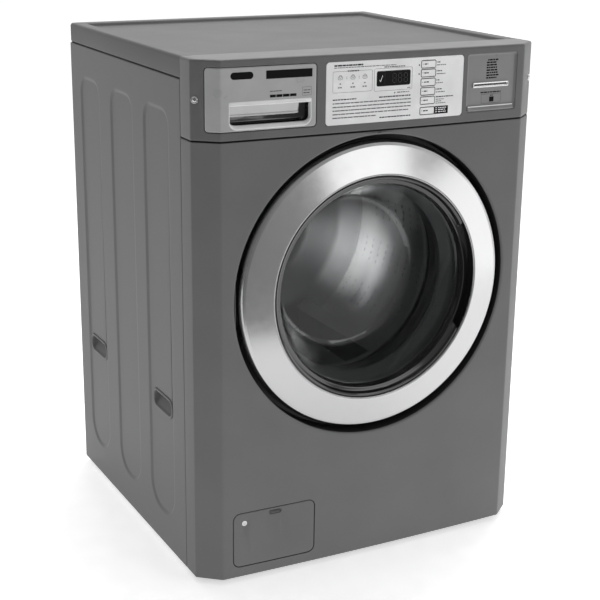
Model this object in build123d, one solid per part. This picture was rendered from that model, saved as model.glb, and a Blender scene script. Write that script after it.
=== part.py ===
from build123d import *
import os
from math import cos, radians, sin, sqrt

# Front load washing machine. Millimetres. X to the right seen from the front, Y to the back, Z up.
# The origin is on the floor, midway across the width and the depth.

# Overall size
HALF_W = 343.0
HALF_D = 342.0
FOOT_H = 10.0
TOP_Z = 954.4
REAR_Y = 319.7

# Plan outline of the front: side faces, chamfers and a gently bowed face
SEAM_Y = -254.3
STRIP_Y = -295.8
CHAMFER_X = 303.4
CHAMFER_Y = -328.5
FRONT_Y = -334.0

# Heights of the panel joints
PANEL_SEAM_Z = 819.8
LID_SEAM_Z = 917.6
SEAM = 1.2

# Sheet thicknesses
SHEET = 1.5
SIDE_SHEET = 1.2
MOULD = 3.0

# Pressed ribs and grips in the side panels
RIB_SPANS_Y = [(-195.3, -83.3), (-20.3, 88.7), (158.7, 260.7)]
RIB_Z = (80.0, 853.0)
RIB_TOP_R = 30.0
RIB_BOTTOM_R = 48.0
RIB_DEPTH = 2.5
GRIP_Y = [-145.3, 207.7]
GRIP_Z = 300.0
GRIP_L = 84.0
GRIP_H = 28.0
GRIP_DEPTH = 22.0

# Door, about a horizontal axis along Y at this height
DOOR_Z = 532.0
RECESS_R = 279.0
RECESS_FLOOR_Y = -294.0
MOUTH_R = 205.0
RING_BACK_R = 269.5
RING_FRONT_R = 264.0
RING_NOSE_R = 209.5
FRAME_R = 206.3
RING_BACK_Y = -311.0
RING_FRONT_Y = -329.0
HINGE_X = -278.0
HINGE_Y = -323.0
PIN_R = 2.5
RUN = 0.05
HOOK_X = 231.0

# Drum and tub
DRUM_R = 272.0
DRUM_Y = (-190.0, 188.0)
DRUM_MOUTH_R = 196.0
LIFTER_ANGLES = (60, 180, 300)
TUB_R = 290.0
TUB_WALL = 3.0
TUB_Y = (-215.0, 226.0)
FLANGE_R = 300.0
SHAFT_R = 15.0
BEARING_R = 32.0
SPRING_X = 200.0
SPRING_Y = [-20.0, 150.0]
SPRING_Z = (770.0, 880.0)
DAMPER_X = 170.0
DAMPER_Y = [-80.0, 120.0]

# Control panel: drawer, overlay, keys, payment plate, locks
DRAWER_X = (-324.1, -127.5)
DRAWER_Z = (835.0, 941.0)
DRAWER_BACK_Y = -301.0
PULL_X = (-287.5, -137.0)
PULL_Z = (838.0, 883.5)
OVERLAY_X = (-109.0, 169.0)
OVERLAY_Z = (833.5, 941.0)
OVERLAY_T = 0.8
WINDOW_X = (-10.7, 58.0)
WINDOW_Z = (895.0, 921.5)
KEY_X = 94.7
KEY_Z = [928.5, 913.0, 897.0, 881.0, 865.0, 846.5]
KEY_W = 28.5
KEY_H = 11.6
PAY_X = (179.0, 288.0)
PAY_Z = (837.0, 940.5)
SLOT_X = (193.0, 272.5)
SLOT_Z = (879.5, 889.5)
LOCK_X = 337.0
LOCK_Z = 888.0
LOCK_R = 6.5
PLUG_R = 4.5

# Service flap and drain filter
FLAP_X = (-282.3, -119.0)
FLAP_Z = (31.5, 137.5)
FLAP_T = 2.5
FLAP_R = 13.0
FLAP_AXIS_Z = 44.5
FLAP_GAP = 1.2
FLAP_AXIS_DEPTH = 3.7
FILTER_X = -215.0
FILTER_Z = 85.0

# Drawer tray and control board
TRAY_X = (-312.0, -138.0)
TRAY_Y = (-301.0, -72.0)
TRAY_Z = (840.0, 926.0)
TRAY_WALL = 2.5
SPOUT = (-150.0, -75.0)
BOARD_Y = -314.0

# Lid, feet and rear fittings
LID_SINK = 7.0
FOOT_X = 300.0
FOOT_Y = [-215.0, 280.0]
STUD_R = 6.0
VALVE_X = [190.0, 250.0]
VALVE_Z = 880.0
PORT_R = 13.2
OUTLET_X = -250.0
OUTLET_Z = 105.0
OUTLET_R = 16.0
GLAND_X = -220.0
GLAND_Z = 880.0
GLAND_R = 12.0
STEP_Y = 320.5


def box(x, y, z):
    """Block between the pairs of limits x, y and z."""
    centre = Pos((x[0] + x[1]) / 2, (y[0] + y[1]) / 2, (z[0] + z[1]) / 2)
    return centre * Box(x[1] - x[0], y[1] - y[0], z[1] - z[0])


def rod_y(x, z, r, y0, y1):
    """Cylinder along Y."""
    return Pos(x, (y0 + y1) / 2, z) * Rot(90, 0, 0) * Cylinder(r, y1 - y0)


def rod_z(x, y, r, z0, z1):
    """Cylinder along Z."""
    return Pos(x, y, (z0 + z1) / 2) * Cylinder(r, z1 - z0)


def turned(points):
    """Solid of revolution about the drum axis; points are (radius, y)."""
    profile = make_face(Polyline(*[(r, y) for r, y in points], close=True))
    return Pos(0, 0, DOOR_Z) * revolve(profile, axis=Axis.Y)


def ring_y(r_in, r_out, y0, y1):
    """Flat ring about the drum axis."""
    return turned([(r_in, y0), (r_out, y0), (r_out, y1), (r_in, y1)])


def sector(r_in, r_out, y0, y1, mid, half):
    """Part of a ring about the drum axis: half to each side of angle mid, from +X towards +Z."""
    profile = make_face(Polyline((r_in, y0), (r_out, y0), (r_out, y1), (r_in, y1), close=True))
    swept = revolve(profile, axis=Axis.Y, revolution_arc=2 * half)
    return Pos(0, 0, DOOR_Z) * Rot(0, -(half + mid), 0) * swept


def front_block(inset, back, z):
    """Everything behind the front outline moved in by inset, as far back as y = back."""
    rear = back + inset
    lines = [
        Line((-HALF_W, rear), (-HALF_W, STRIP_Y)),
        Line((-HALF_W, STRIP_Y), (-CHAMFER_X, CHAMFER_Y)),
        ThreePointArc((-CHAMFER_X, CHAMFER_Y), (0, FRONT_Y), (CHAMFER_X, CHAMFER_Y)),
        Line((CHAMFER_X, CHAMFER_Y), (HALF_W, STRIP_Y)),
        Line((HALF_W, STRIP_Y), (HALF_W, rear)),
        Line((HALF_W, rear), (-HALF_W, rear)),
    ]
    face = make_face(lines)
    if inset > 0:
        face = offset(face, amount=-inset, kind=Kind.INTERSECTION)
    return Pos(0, 0, z[0]) * extrude(face, amount=z[1] - z[0], dir=(0, 0, 1))


def skin(outer, inner, x, z, back=-250.0):
    """Piece of the front surface between two insets, within the limits x and z."""
    region = box(x, (-350, back), z)
    thick = front_block(outer, SEAM_Y, (z[0] - 1, z[1] + 1))
    thick -= front_block(inner, SEAM_Y + 5, (z[0] - 2, z[1] + 2))
    return thick & region


def rounded_y(x, z, r, y0, y1):
    """Block along Y with its four long edges rounded."""
    plate = RectangleRounded(x[1] - x[0], z[1] - z[0], r)
    prism = extrude(plate, amount=(y1 - y0) / 2, both=True)
    return Pos((x[0] + x[1]) / 2, (y0 + y1) / 2, (z[0] + z[1]) / 2) * Rot(90, 0, 0) * prism


def surface_y(x):
    """Y of the bowed front face at x."""
    return CHAMFER_Y - (CHAMFER_Y - FRONT_Y) * (1 - (x / CHAMFER_X) ** 2)


def tube_along(points, bend, r_out, r_in):
    """Round tube along straight runs joined by tangent arcs."""
    path = FilletPolyline(*points, radius=bend)
    start = Plane(path @ 0, z_dir=path % 0)
    return sweep(start * Circle(r_out), path=path) - sweep(start * Circle(r_in), path=path)


# --- Cabinet ---

def rib_outline(y, grow):
    """Outline of a pressed rib in the plane of a side panel, as a face in (y, z)."""
    low = RIB_Z[0] - grow
    high = RIB_Z[1] + grow
    y0 = y[0] - grow
    y1 = y[1] + grow
    face = make_face(Polyline((y0, low), (y1, low), (y1, high), (y0, high), close=True))
    bottom = face.vertices().group_by(Axis.Y)[0]
    top = face.vertices().group_by(Axis.Y)[-1]
    face = fillet(bottom, RIB_BOTTOM_R + grow)
    top = face.vertices().group_by(Axis.Y)[-1]
    return fillet(top, RIB_TOP_R + grow)


def rib_prism(y, grow, depth0, depth1):
    """Rib outline as a prism from depth0 to depth1 behind the left outer face."""
    plane = Plane(origin=(-HALF_W + depth0, 0, 0), x_dir=(0, 1, 0), z_dir=(1, 0, 0))
    return extrude(plane * rib_outline(y, grow), amount=depth1 - depth0)


def grip_prism(y, grow, depth0, depth1):
    """Grip outline, a rounded rectangle, from depth0 to depth1 behind the left outer face."""
    plane = Plane(origin=(-HALF_W + depth0, y, GRIP_Z), x_dir=(0, 1, 0), z_dir=(1, 0, 0))
    outline = RectangleRounded(GRIP_L + 2 * grow, GRIP_H + 2 * grow, 12 + grow)
    return extrude(plane * outline, amount=depth1 - depth0)


def left_side_panel():
    """Steel side with three pressed ribs, a front flange and two grip holes."""
    z = (FOOT_H, LID_SEAM_Z - SEAM)
    front = SEAM_Y + SEAM
    panel = box((-HALF_W, -HALF_W + SIDE_SHEET), (front, REAR_Y), z)
    for span in RIB_SPANS_Y:
        panel -= rib_prism(span, SIDE_SHEET, -1, SIDE_SHEET + 1)
        panel += rib_prism(span, SIDE_SHEET, 0, RIB_DEPTH + SIDE_SHEET)
        panel -= rib_prism(span, 0, -1, RIB_DEPTH)
    panel += box((-HALF_W, -HALF_W + 14), (front, front + SIDE_SHEET), z)
    for y in GRIP_Y:
        panel -= grip_prism(y, 2.0, -1, 10)
    return panel


def left_grips():
    """Recessed finger grips, each a cup with a rim that sits on the rib floor."""
    cups = []
    for y in GRIP_Y:
        cup = grip_prism(y, 1.5, RIB_DEPTH, GRIP_DEPTH)
        cup += grip_prism(y, 5.0, 0.2, RIB_DEPTH)
        cup -= grip_prism(y, 0, -1, GRIP_DEPTH - 1.5)
        cups.append(cup)
    return cups


def mirrored(shape):
    return mirror(shape, about=Plane.YZ)


def side_grips():
    left = left_grips()
    return Compound(children=left + [mirrored(cup) for cup in left])


def rear_panel():
    """Back sheet with an access opening and holes for the water, drain and supply fittings."""
    z = (FOOT_H + 42, LID_SEAM_Z - SEAM)
    sheet = box((-341.6, 341.6), (REAR_Y - SHEET, REAR_Y), z)
    sheet += box((-341.6, 341.6), (REAR_Y - 14, REAR_Y - SHEET), (z[1] - SHEET, z[1]))
    sheet -= rod_y(0, DOOR_Z, 150, 300, 330)
    for x in VALVE_X:
        sheet -= rod_y(x, VALVE_Z, PORT_R + 1, 300, 330)
    sheet -= rod_y(OUTLET_X, OUTLET_Z, OUTLET_R + 1, 300, 330)
    sheet -= rod_y(GLAND_X, GLAND_Z, GLAND_R, 300, 330)
    return sheet


def rear_access_cover():
    plate = rounded_y((-170, 170), (DOOR_Z - 170, DOOR_Z + 170), 20, REAR_Y, REAR_Y + SHEET)
    dish = rod_y(0, DOOR_Z, 145, REAR_Y - SHEET, REAR_Y + 4)
    hollow = rod_y(0, DOOR_Z, 143.5, REAR_Y - 5, REAR_Y + 4 - SHEET)
    return plate + dish - hollow


def base_pan():
    """Folded steel tray that carries the feet, dampers and pump."""
    y = (SEAM_Y + 3.0, REAR_Y - SHEET - 0.2)
    pan = box((-341, 341), y, (FOOT_H, FOOT_H + 40))
    pan -= box((-339, 339), (y[0] + 2, y[1] - 2), (FOOT_H + 2, FOOT_H + 60))
    for x in (-FOOT_X, FOOT_X):
        for fy in FOOT_Y:
            pan -= rod_z(x, fy, STUD_R, 0, 30)
    return pan


def levelling_feet():
    """Four feet with threaded studs, and a lock nut on each above the pan."""
    pieces = []
    for x in (-FOOT_X, FOOT_X):
        for y in FOOT_Y:
            foot = rod_z(x, y, 20, 0, 6) + rod_z(x, y, 12, 6, FOOT_H) + rod_z(x, y, STUD_R, FOOT_H, 46)
            nut = Pos(x, y, FOOT_H + 2) * extrude(RegularPolygon(11, 6), amount=8)
            pieces += [foot, nut - rod_z(x, y, STUD_R, 0, 60)]
    return Compound(children=pieces)


def cross_braces():
    """Two channels under the lid that tie the sides and hold the suspension springs."""
    braces = []
    for y in SPRING_Y:
        channel = box((-341.5, 341.5), (y - 22, y + 22), (SPRING_Z[1], SPRING_Z[1] + 25))
        channel -= box((-342, 342), (y - 20, y + 20), (SPRING_Z[1] + 2, SPRING_Z[1] + 30))
        braces.append(channel)
    return Compound(children=braces)


def top_panel():
    """Lid: a skirt all round, and a raised rim at the sides and the back around a sunk top."""
    y = (SEAM_Y + 0.7, REAR_Y + 0.8)
    rim = (HALF_W - 28, REAR_Y - 26)
    top = box((-HALF_W, HALF_W), y, (LID_SEAM_Z, TOP_Z))
    inner_y = (y[0] + SHEET, y[1] - SHEET)
    top -= box((-HALF_W + SHEET, HALF_W - SHEET), inner_y, (900, TOP_Z - LID_SINK - SHEET))
    top -= box((-HALF_W + SHEET, HALF_W - SHEET), inner_y, (930, TOP_Z - SHEET)) - box(
        (-rim[0] - SHEET, rim[0] + SHEET), (y[0] - 5, rim[1] + SHEET), (920, TOP_Z))
    top -= box((-rim[0], rim[0]), (y[0] - 5, rim[1]), (TOP_Z - LID_SINK, TOP_Z + 5))
    top -= box((-HALF_W + 14, HALF_W - 14), (y[0] - 5, y[0] + 3), (LID_SEAM_Z - 5, 938))
    return top


def front_panel():
    """Bowed steel front with a deep round door recess, a hinge pocket and the flap opening."""
    z = (FOOT_H, PANEL_SEAM_Z - SEAM)
    panel = front_block(0, SEAM_Y, z) - front_block(SHEET, SEAM_Y + 5, (z[0] - 1, z[1] + 1))
    panel += front_block(0, SEAM_Y - 4, (z[0], z[0] + SHEET))
    panel -= rod_y(0, DOOR_Z, RECESS_R, -360, -250)
    wall = ring_y(RECESS_R, RECESS_R + SHEET, -345, RECESS_FLOOR_Y + SHEET)
    panel += wall & front_block(0, SEAM_Y, z)
    panel += ring_y(MOUTH_R, RECESS_R + SHEET, RECESS_FLOOR_Y, RECESS_FLOOR_Y + SHEET)
    panel += ring_y(MOUTH_R - SHEET, MOUTH_R, RECESS_FLOOR_Y, RECESS_FLOOR_Y + 14)
    panel -= box((-297, -266), (HINGE_Y - 4.3, RECESS_FLOOR_Y + 3), (DOOR_Z - 70, DOOR_Z + 70))
    panel -= box((HOOK_X - 10, HOOK_X + 15), (-300, -285), (DOOR_Z - 12, DOOR_Z + 12))
    flap_x = (FLAP_X[0] - FLAP_GAP, FLAP_X[1] + FLAP_GAP)
    flap_z = (FLAP_Z[0] - FLAP_GAP, FLAP_Z[1] + FLAP_GAP)
    return panel - rounded_y(flap_x, flap_z, FLAP_R + FLAP_GAP, -345, -300)


# --- Control panel ---

def control_housing():
    """Moulded control panel with openings for the drawer, window, keys and payment plate."""
    z = (PANEL_SEAM_Z, TOP_Z)
    shell = front_block(0, SEAM_Y - 0.5, z) - front_block(MOULD, SEAM_Y + 5, (z[0] - 1, z[1] - MOULD))
    drawer = box((DRAWER_X[0] - 1, DRAWER_X[1] + 1), (-350, -285), (DRAWER_Z[0] - 1, DRAWER_Z[1] + 1))
    shell -= drawer
    shell -= skin(-1, OVERLAY_T, OVERLAY_X, OVERLAY_Z)
    shell -= box(WINDOW_X, (-345, -320), WINDOW_Z)
    for z_key in KEY_Z:
        shell -= rounded_y((KEY_X - KEY_W / 2 - 0.4, KEY_X + KEY_W / 2 + 0.4),
                           (z_key - KEY_H / 2 - 0.4, z_key + KEY_H / 2 + 0.4), 2, -345, -320)
    shell -= rounded_y(PAY_X, PAY_Z, 4, -345, -320)
    for side in (-1, 1):
        shell -= lock_cylinder(side, LOCK_R, -5, 20)
    for x in (-95, 75):
        for bz in (832, 946):
            shell += rod_y(x, bz, 3, surface_y(x) + 2, BOARD_Y)
    return shell


def control_overlay():
    """Thin printed sheet over the middle of the panel, cut out for the window and keys."""
    sheet = skin(0, OVERLAY_T, OVERLAY_X, OVERLAY_Z)
    sheet -= box(WINDOW_X, (-345, -320), WINDOW_Z)
    for z_key in KEY_Z:
        sheet -= rounded_y((KEY_X - KEY_W / 2 - 0.4, KEY_X + KEY_W / 2 + 0.4),
                           (z_key - KEY_H / 2 - 0.4, z_key + KEY_H / 2 + 0.4), 2, -345, -320)
    return sheet


def display_window():
    return skin(0.2, MOULD, WINDOW_X, WINDOW_Z)


def control_board():
    board = box((-100, 140), (BOARD_Y, BOARD_Y + 1.6), (829, 949))
    display = box((WINDOW_X[0] + 4, WINDOW_X[1] - 4), (BOARD_Y - 12, BOARD_Y),
                  (WINDOW_Z[0] + 3, WINDOW_Z[1] - 3))
    return board + display


def button(z_key):
    """Key with a retaining flange behind the panel and a stem that reaches for the board."""
    x = (KEY_X - KEY_W / 2, KEY_X + KEY_W / 2)
    z = (z_key - KEY_H / 2, z_key + KEY_H / 2)
    cap = rounded_y(x, z, 1.6, surface_y(KEY_X) - 0.9, -328)
    flange = box((x[0] - 1, x[1] + 1), (-329.3, -328), (z[0] - 1.2, z[1] + 1.2))
    return cap + flange + rod_y(KEY_X, z_key, 2, -328.5, BOARD_Y - 2.5)


def card_reader_plate():
    """Sunk plate behind the payment opening, with a raised field and the slot."""
    plate = skin(MOULD + 0.1, MOULD + 2.1, (PAY_X[0] - 4, PAY_X[1] + 4), (PAY_Z[0] - 4, PAY_Z[1] + 4))
    plate -= box((SLOT_X[0] + 6, SLOT_X[1] - 6), (-345, -320), (SLOT_Z[0] + 3, SLOT_Z[1] - 3))
    return plate


def card_slot_bezel():
    frame = skin(0.3, MOULD + 0.1, SLOT_X, SLOT_Z)
    frame -= box((SLOT_X[0] + 6, SLOT_X[1] - 6), (-345, -320), (SLOT_Z[0] + 3, SLOT_Z[1] - 3))
    return frame


def lock_plane(side):
    """Plane square to a chamfer at the lock's centre, with z inward and x upward."""
    run = (HALF_W - CHAMFER_X, STRIP_Y - CHAMFER_Y)
    inward = Vector(-side * run[1], run[0], 0).normalized()
    y = STRIP_Y - (HALF_W - LOCK_X) * run[1] / run[0]
    return Plane(origin=(side * LOCK_X, y, LOCK_Z), x_dir=(0, 0, 1), z_dir=inward)


def lock_cylinder(side, r, depth0, depth1):
    """Cylinder square to a chamfer, from depth0 to depth1 behind its face."""
    return extrude(lock_plane(side).offset(depth0) * Circle(r), amount=depth1 - depth0)


def panel_lock_barrels():
    barrels = []
    for side in (-1, 1):
        barrels.append(lock_cylinder(side, LOCK_R, -0.6, 16) - lock_cylinder(side, PLUG_R + RUN, -2, 17))
    return Compound(children=barrels)


def lock_plug(side):
    """Key plug: a slotted face, and a flat tail behind the barrel."""
    keyway = extrude(lock_plane(side) * Rectangle(6, 1.2), amount=3, both=True)
    tail = extrude(lock_plane(side).offset(17) * Rectangle(14, 7), amount=2)
    return lock_cylinder(side, PLUG_R, -0.3, 17) - keyway + tail


# --- Detergent drawer ---

def drawer_front():
    """Moulded face that wraps the chamfer, with a deep finger pull."""
    face = skin(0, 24, DRAWER_X, DRAWER_Z, back=DRAWER_BACK_Y)
    face += box((-316, -136), (-311, DRAWER_BACK_Y), (DRAWER_Z[0] + 3, DRAWER_Z[1] - 9))
    pull = rounded_y(PULL_X, PULL_Z, 5, -345, -312)
    return face - pull


def drawer_tray():
    """Tray with three compartments."""
    tray = box(TRAY_X, TRAY_Y, TRAY_Z)
    width = (TRAY_X[1] - TRAY_X[0] - 4 * TRAY_WALL) / 3
    for i in range(3):
        x0 = TRAY_X[0] + TRAY_WALL + i * (width + TRAY_WALL)
        tray -= box((x0, x0 + width), (TRAY_Y[0] + TRAY_WALL, TRAY_Y[1] - TRAY_WALL),
                    (TRAY_Z[0] + TRAY_WALL, TRAY_Z[1] + 5))
    return tray


def dispenser_housing():
    """Box that the tray runs in, open at the front, with a spout below."""
    outer = box((-318, -132), (-299, -62), (829, 934))
    outer -= box((-316, -134), (-305, -64), (831, 932))
    spout = rod_z(SPOUT[0], SPOUT[1], 16, 804, 830)
    return outer + spout - rod_z(SPOUT[0], SPOUT[1], 13, 800, 832)


# --- Service flap and drain ---

def flap_axis_point(x):
    return surface_y(x) + FLAP_AXIS_DEPTH


def flap_frame():
    """Plane at the flap's hinge axis, with its x along the axis."""
    y0 = flap_axis_point(FLAP_X[0])
    y1 = flap_axis_point(FLAP_X[1])
    run = Vector(FLAP_X[1] - FLAP_X[0], y1 - y0, 0)
    mid = ((FLAP_X[0] + FLAP_X[1]) / 2, (y0 + y1) / 2, FLAP_AXIS_Z)
    return Plane(origin=mid, x_dir=run, z_dir=(0, 0, 1)), run.length


def flap_pin(r, half_length):
    frame, length = flap_frame()
    across = Plane(origin=frame.origin - frame.x_dir * half_length, z_dir=frame.x_dir)
    return extrude(across * Circle(r), amount=2 * half_length)


def service_flap():
    """Flap that follows the bowed front, with hinge lugs, pins, a finger notch and a lock disc."""
    face = skin(0, FLAP_T, (FLAP_X[0] - 5, FLAP_X[1] + 5), (FLAP_Z[0] - 5, FLAP_Z[1] + 5))
    face &= rounded_y(FLAP_X, FLAP_Z, FLAP_R, -345, -300)
    frame, length = flap_frame()
    half = length / 2
    for side in (-1, 1):
        lug = box((-4, 4), (-1.5, 2.2), (-2.2, 2.2))
        face += frame * Pos(side * (half - 16), 0, 0) * lug
        arm = box((-8, 8), (-1.2, 2.2), (-2.2, 2.2))
        face += frame * Pos(side * (half - 9.5), 0, 0) * arm
    pins = flap_pin(1.2, half + 5.5) - flap_pin(3, half - 6)
    face += pins
    notch_x = (-211.5, -187.4)
    face -= box(notch_x, (-345, surface_y(-200) + 1.6), (FLAP_Z[1] - 11.5, FLAP_Z[1] - 4.5))
    face += box((notch_x[0] + 4, notch_x[1] - 4), (surface_y(-200) + FLAP_T - 0.3, surface_y(-200) + 8),
                (FLAP_Z[1] - 4, FLAP_Z[1] - 1.5))
    lock = rod_y(-260.7, 117.3, 5, surface_y(-260.7) - 0.3, surface_y(-260.7) + 6)
    return face + lock


def filter_housing():
    """Plastic box behind the flap, with the ears that hold the flap's pins."""
    x = (-296.0, -105.0)
    z = (14.0, 146.0)
    back = -262.0
    shell = box(x, (-322, back), z) - box((x[0] + 3, x[1] - 3), (-330, back - 2), (z[0] + 3, z[1] - 3))
    shell -= rod_y(FILTER_X, FILTER_Z, 26, -300, -250)
    frame, length = flap_frame()
    for side in (-1, 1):
        ear = box((-2.5, 2.5), (-2.0, 10), (-3.2, 3.2))
        shell += frame * Pos(side * (length / 2 + 4.6), 0, 0) * ear
        shelf = box((-2.5, 2.5), (4, 10), (-29, 3.2))
        shell += frame * Pos(side * (length / 2 + 4.6), 0, 0) * shelf
    return shell - flap_pin(1.2 + RUN, length / 2 + 12)


def filter_cap():
    """Screw cap with a grip bar and a barrel that turns in the pump mouth."""
    cap = rod_y(FILTER_X, FILTER_Z, 31, -272, -264.5)
    cap += rod_y(FILTER_X, FILTER_Z, 24, -264.5, -240)
    cap += rounded_y((FILTER_X - 26, FILTER_X + 26), (FILTER_Z - 5, FILTER_Z + 5), 4, -288, -271)
    return cap


def drain_pump():
    body = rod_y(FILTER_X, FILTER_Z, 31, -262, -195) + rod_y(FILTER_X, FILTER_Z, 25, -195, -120)
    body += rod_z(FILTER_X, -215, 15, FILTER_Z + 20, 132)
    body += rod_z(FILTER_X, -215, 9, 50, FILTER_Z)
    body += box((FILTER_X - 12, FILTER_X + 12), (-180, -140), (FOOT_H + 2, FILTER_Z))
    return body - rod_y(FILTER_X, FILTER_Z, 24 + RUN, -270, -236)


def sump_hose():
    """Short hose from the tub's sump spout to the pump."""
    route = [(-150, -120, 258), (-150, -120, 222), (FILTER_X, -215, 170), (FILTER_X, -215, 133)]
    return tube_along(route, 18, 17, 14)


def drain_hose():
    route = [(-255, -170, FILTER_Z), (-285, -120, FILTER_Z), (-300, -20, 70), (-290, 120, 70),
             (OUTLET_X, 220, OUTLET_Z), (OUTLET_X, 285, OUTLET_Z)]
    return tube_along(route, 40, 13, 10)


def drain_outlet():
    """Rear spigot for the building's drain hose."""
    outlet = rod_y(OUTLET_X, OUTLET_Z, OUTLET_R - 1, 286, STEP_Y)
    outlet += rod_y(OUTLET_X, OUTLET_Z, OUTLET_R, STEP_Y, HALF_D)
    outlet += rod_y(OUTLET_X, OUTLET_Z, 24, REAR_Y - 4.5, REAR_Y - 1.6)
    return outlet - rod_y(OUTLET_X, OUTLET_Z, OUTLET_R - 3, 280, 350)


def inlet_valves():
    """Hot and cold solenoid valves with threaded ports through the rear panel."""
    body = box((VALVE_X[0] - 28, VALVE_X[1] + 28), (275, REAR_Y - SHEET - 0.2), (VALVE_Z - 20, VALVE_Z + 20))
    for x in VALVE_X:
        body += rod_y(x, VALVE_Z, PORT_R - 1, 310, STEP_Y)
        body += rod_y(x, VALVE_Z, PORT_R, STEP_Y, HALF_D)
    for x in VALVE_X:
        body -= rod_y(x, VALVE_Z, 8, 316, 350)
    return body


def supply_gland():
    """Cable gland for the mains lead, and its terminal box inside."""
    gland = rod_y(GLAND_X, GLAND_Z, GLAND_R, 300, REAR_Y + 14)
    gland += Pos(GLAND_X, REAR_Y, GLAND_Z) * Rot(-90, 0, 0) * extrude(RegularPolygon(16, 6), amount=6)
    box_in = box((GLAND_X - 40, GLAND_X + 40), (262, 304), (GLAND_Z - 25, GLAND_Z + 25))
    box_in -= box((GLAND_X - 38, GLAND_X + 38), (264, 302), (GLAND_Z - 23, GLAND_Z + 23))
    return gland + box_in - rod_y(GLAND_X, GLAND_Z, 6, 290, 350)


def cabinet_screws():
    """Hexagon screws of the rear panel and the access cover."""
    screws = []
    spots = [(x, z) for x in (-325, 325) for z in (80, 360, 640, 900)]
    head_y = {spot: REAR_Y for spot in spots}
    for x in (-158, 158):
        for z in (DOOR_Z - 158, DOOR_Z + 158):
            head_y[(x, z)] = REAR_Y + SHEET
    for (x, z), y in head_y.items():
        head = Pos(x, y, z) * Rot(-90, 0, 0) * extrude(RegularPolygon(5, 6), amount=4)
        screws.append(head)
    return Compound(children=screws)


# --- Door ---

def hinge_bracket():
    """Steel bracket behind the recess floor, with two ears and the hinge pin."""
    y0 = RECESS_FLOOR_Y + SHEET + 0.1
    plate = box((-316, -262), (y0, y0 + 3), (DOOR_Z - 80, DOOR_Z + 80))
    pin = rod_z(HINGE_X, HINGE_Y, PIN_R, DOOR_Z - 56, DOOR_Z + 56)
    for side in (-1, 1):
        z = sorted((DOOR_Z + side * 46, DOOR_Z + side * 54))
        plate += box((HINGE_X - 4.5, HINGE_X + 4.5), (HINGE_Y - 3.9, RECESS_FLOOR_Y + 2), z)
    return Compound(children=[plate - rod_z(HINGE_X, HINGE_Y, PIN_R, 0, 999), pin])


def hinge_arm():
    """Knuckle on the pin, and a cranked plate that reaches behind the door frame."""
    arm = rod_z(HINGE_X, HINGE_Y, 4.0, DOOR_Z - 45.5, DOOR_Z + 45.5)
    z = (DOOR_Z - 45, DOOR_Z + 45)
    arm += box((HINGE_X - 1.5, HINGE_X + 1.5), (HINGE_Y + 2.8, -303), z)
    arm += box((HINGE_X - 1.5, -236), (-306, -303), z)
    arm += box((-258, -236), (-308, -305.5), z)
    return arm - rod_z(HINGE_X, HINGE_Y, PIN_R + RUN, 0, 999)


def door_ring():
    """Bright ring: a short rim, a rounded shoulder and a long cone that rises to its inner edge."""
    nose = -HALF_D
    lip = FRAME_R + 0.2
    return turned([
        (RING_BACK_R, RING_BACK_Y), (RING_BACK_R, RING_FRONT_Y + 7), (RING_FRONT_R, RING_FRONT_Y),
        (RING_FRONT_R - 4, RING_FRONT_Y - 1.2), (RING_NOSE_R + 1, nose), (RING_NOSE_R - 1.6, nose + 0.5),
        (lip, nose + 3), (lip, nose + 8), (lip + 2, nose + 8), (lip + 2, nose + 3.2),
        (RING_NOSE_R + 1, nose + 2.1),
        (RING_FRONT_R - 5, RING_FRONT_Y + 1.0), (RING_FRONT_R - 2, RING_FRONT_Y + 3),
        (RING_BACK_R - 2, RING_FRONT_Y + 9), (RING_BACK_R - 2, RING_BACK_Y)])


def door_frame():
    """Black inner frame that holds the glass, with a finger pocket on the right."""
    frame = turned([
        (187, -318.2), (187, -321), (201, -338.5), (FRAME_R, -338.5), (FRAME_R, -316), (256, -314),
        (263, -311.2), (263, -308), (204.2, -308), (204.2, -318.2)])
    return frame - sector(193, FRAME_R + 0.1, -350, -318.7, 0, 28)


def door_glass():
    """Deep glass bowl with a flat flange."""
    return turned([
        (204, -318), (204, -312.5), (190, -312.5), (152, -217), (141, -207.5), (0, -203),
        (0, -208), (138, -212.3), (147.5, -219.5), (185.8, -318)])


def latch_hook():
    hook = box((HOOK_X - 4, HOOK_X + 4), (-308, -284), (DOOR_Z - 7, DOOR_Z + 7))
    hook += box((HOOK_X - 10, HOOK_X + 10), (-308, -304), (DOOR_Z - 16, DOOR_Z + 16))
    return hook + box((HOOK_X + 3, HOOK_X + 8), (-289, -284), (DOOR_Z - 7, DOOR_Z + 7))


def door_lock():
    body = box((212, 264), (RECESS_FLOOR_Y + SHEET + 0.1, -262), (DOOR_Z - 34, DOOR_Z + 34))
    return body - box((HOOK_X - 11, HOOK_X + 16), (-300, -272), (DOOR_Z - 13, DOOR_Z + 13))


def door_gasket():
    """Rubber bellows between the recess mouth and the tub, with a lip against the glass."""
    return turned([
        (203.3, -291), (203.3, -249), (196.8, -244), (196.8, -216), (190, -216), (190, -247),
        (198, -253), (198, -283), (176.5, -271), (175.5, -275), (198, -291)])


# --- Tub ---

def tub_front():
    """Front half of the plastic tub: neck, face, wall, joint flange, spring lugs and sump."""
    r = TUB_R + TUB_WALL
    y0 = TUB_Y[0]
    shell = turned([
        (197, y0 - 28.5), (200, y0 - 28.5), (200, y0), (r, y0), (r, -4), (FLANGE_R, -4), (FLANGE_R, 0),
        (TUB_R, 0), (TUB_R, y0 + 3), (197, y0 + 3)])
    shell += spring_lugs(SPRING_Y[0]) - rod_y(0, DOOR_Z, TUB_R + 1, -300, 300)
    shell += damper_lugs(DAMPER_Y[0]) - rod_y(0, DOOR_Z, TUB_R + 1, -300, 300)
    spout = rod_z(-150, -120, 17, 258, 300) - rod_y(0, DOOR_Z, TUB_R + 1, -300, 300)
    return shell + spout - rod_z(-150, -120, 13, 250, 300)


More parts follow.
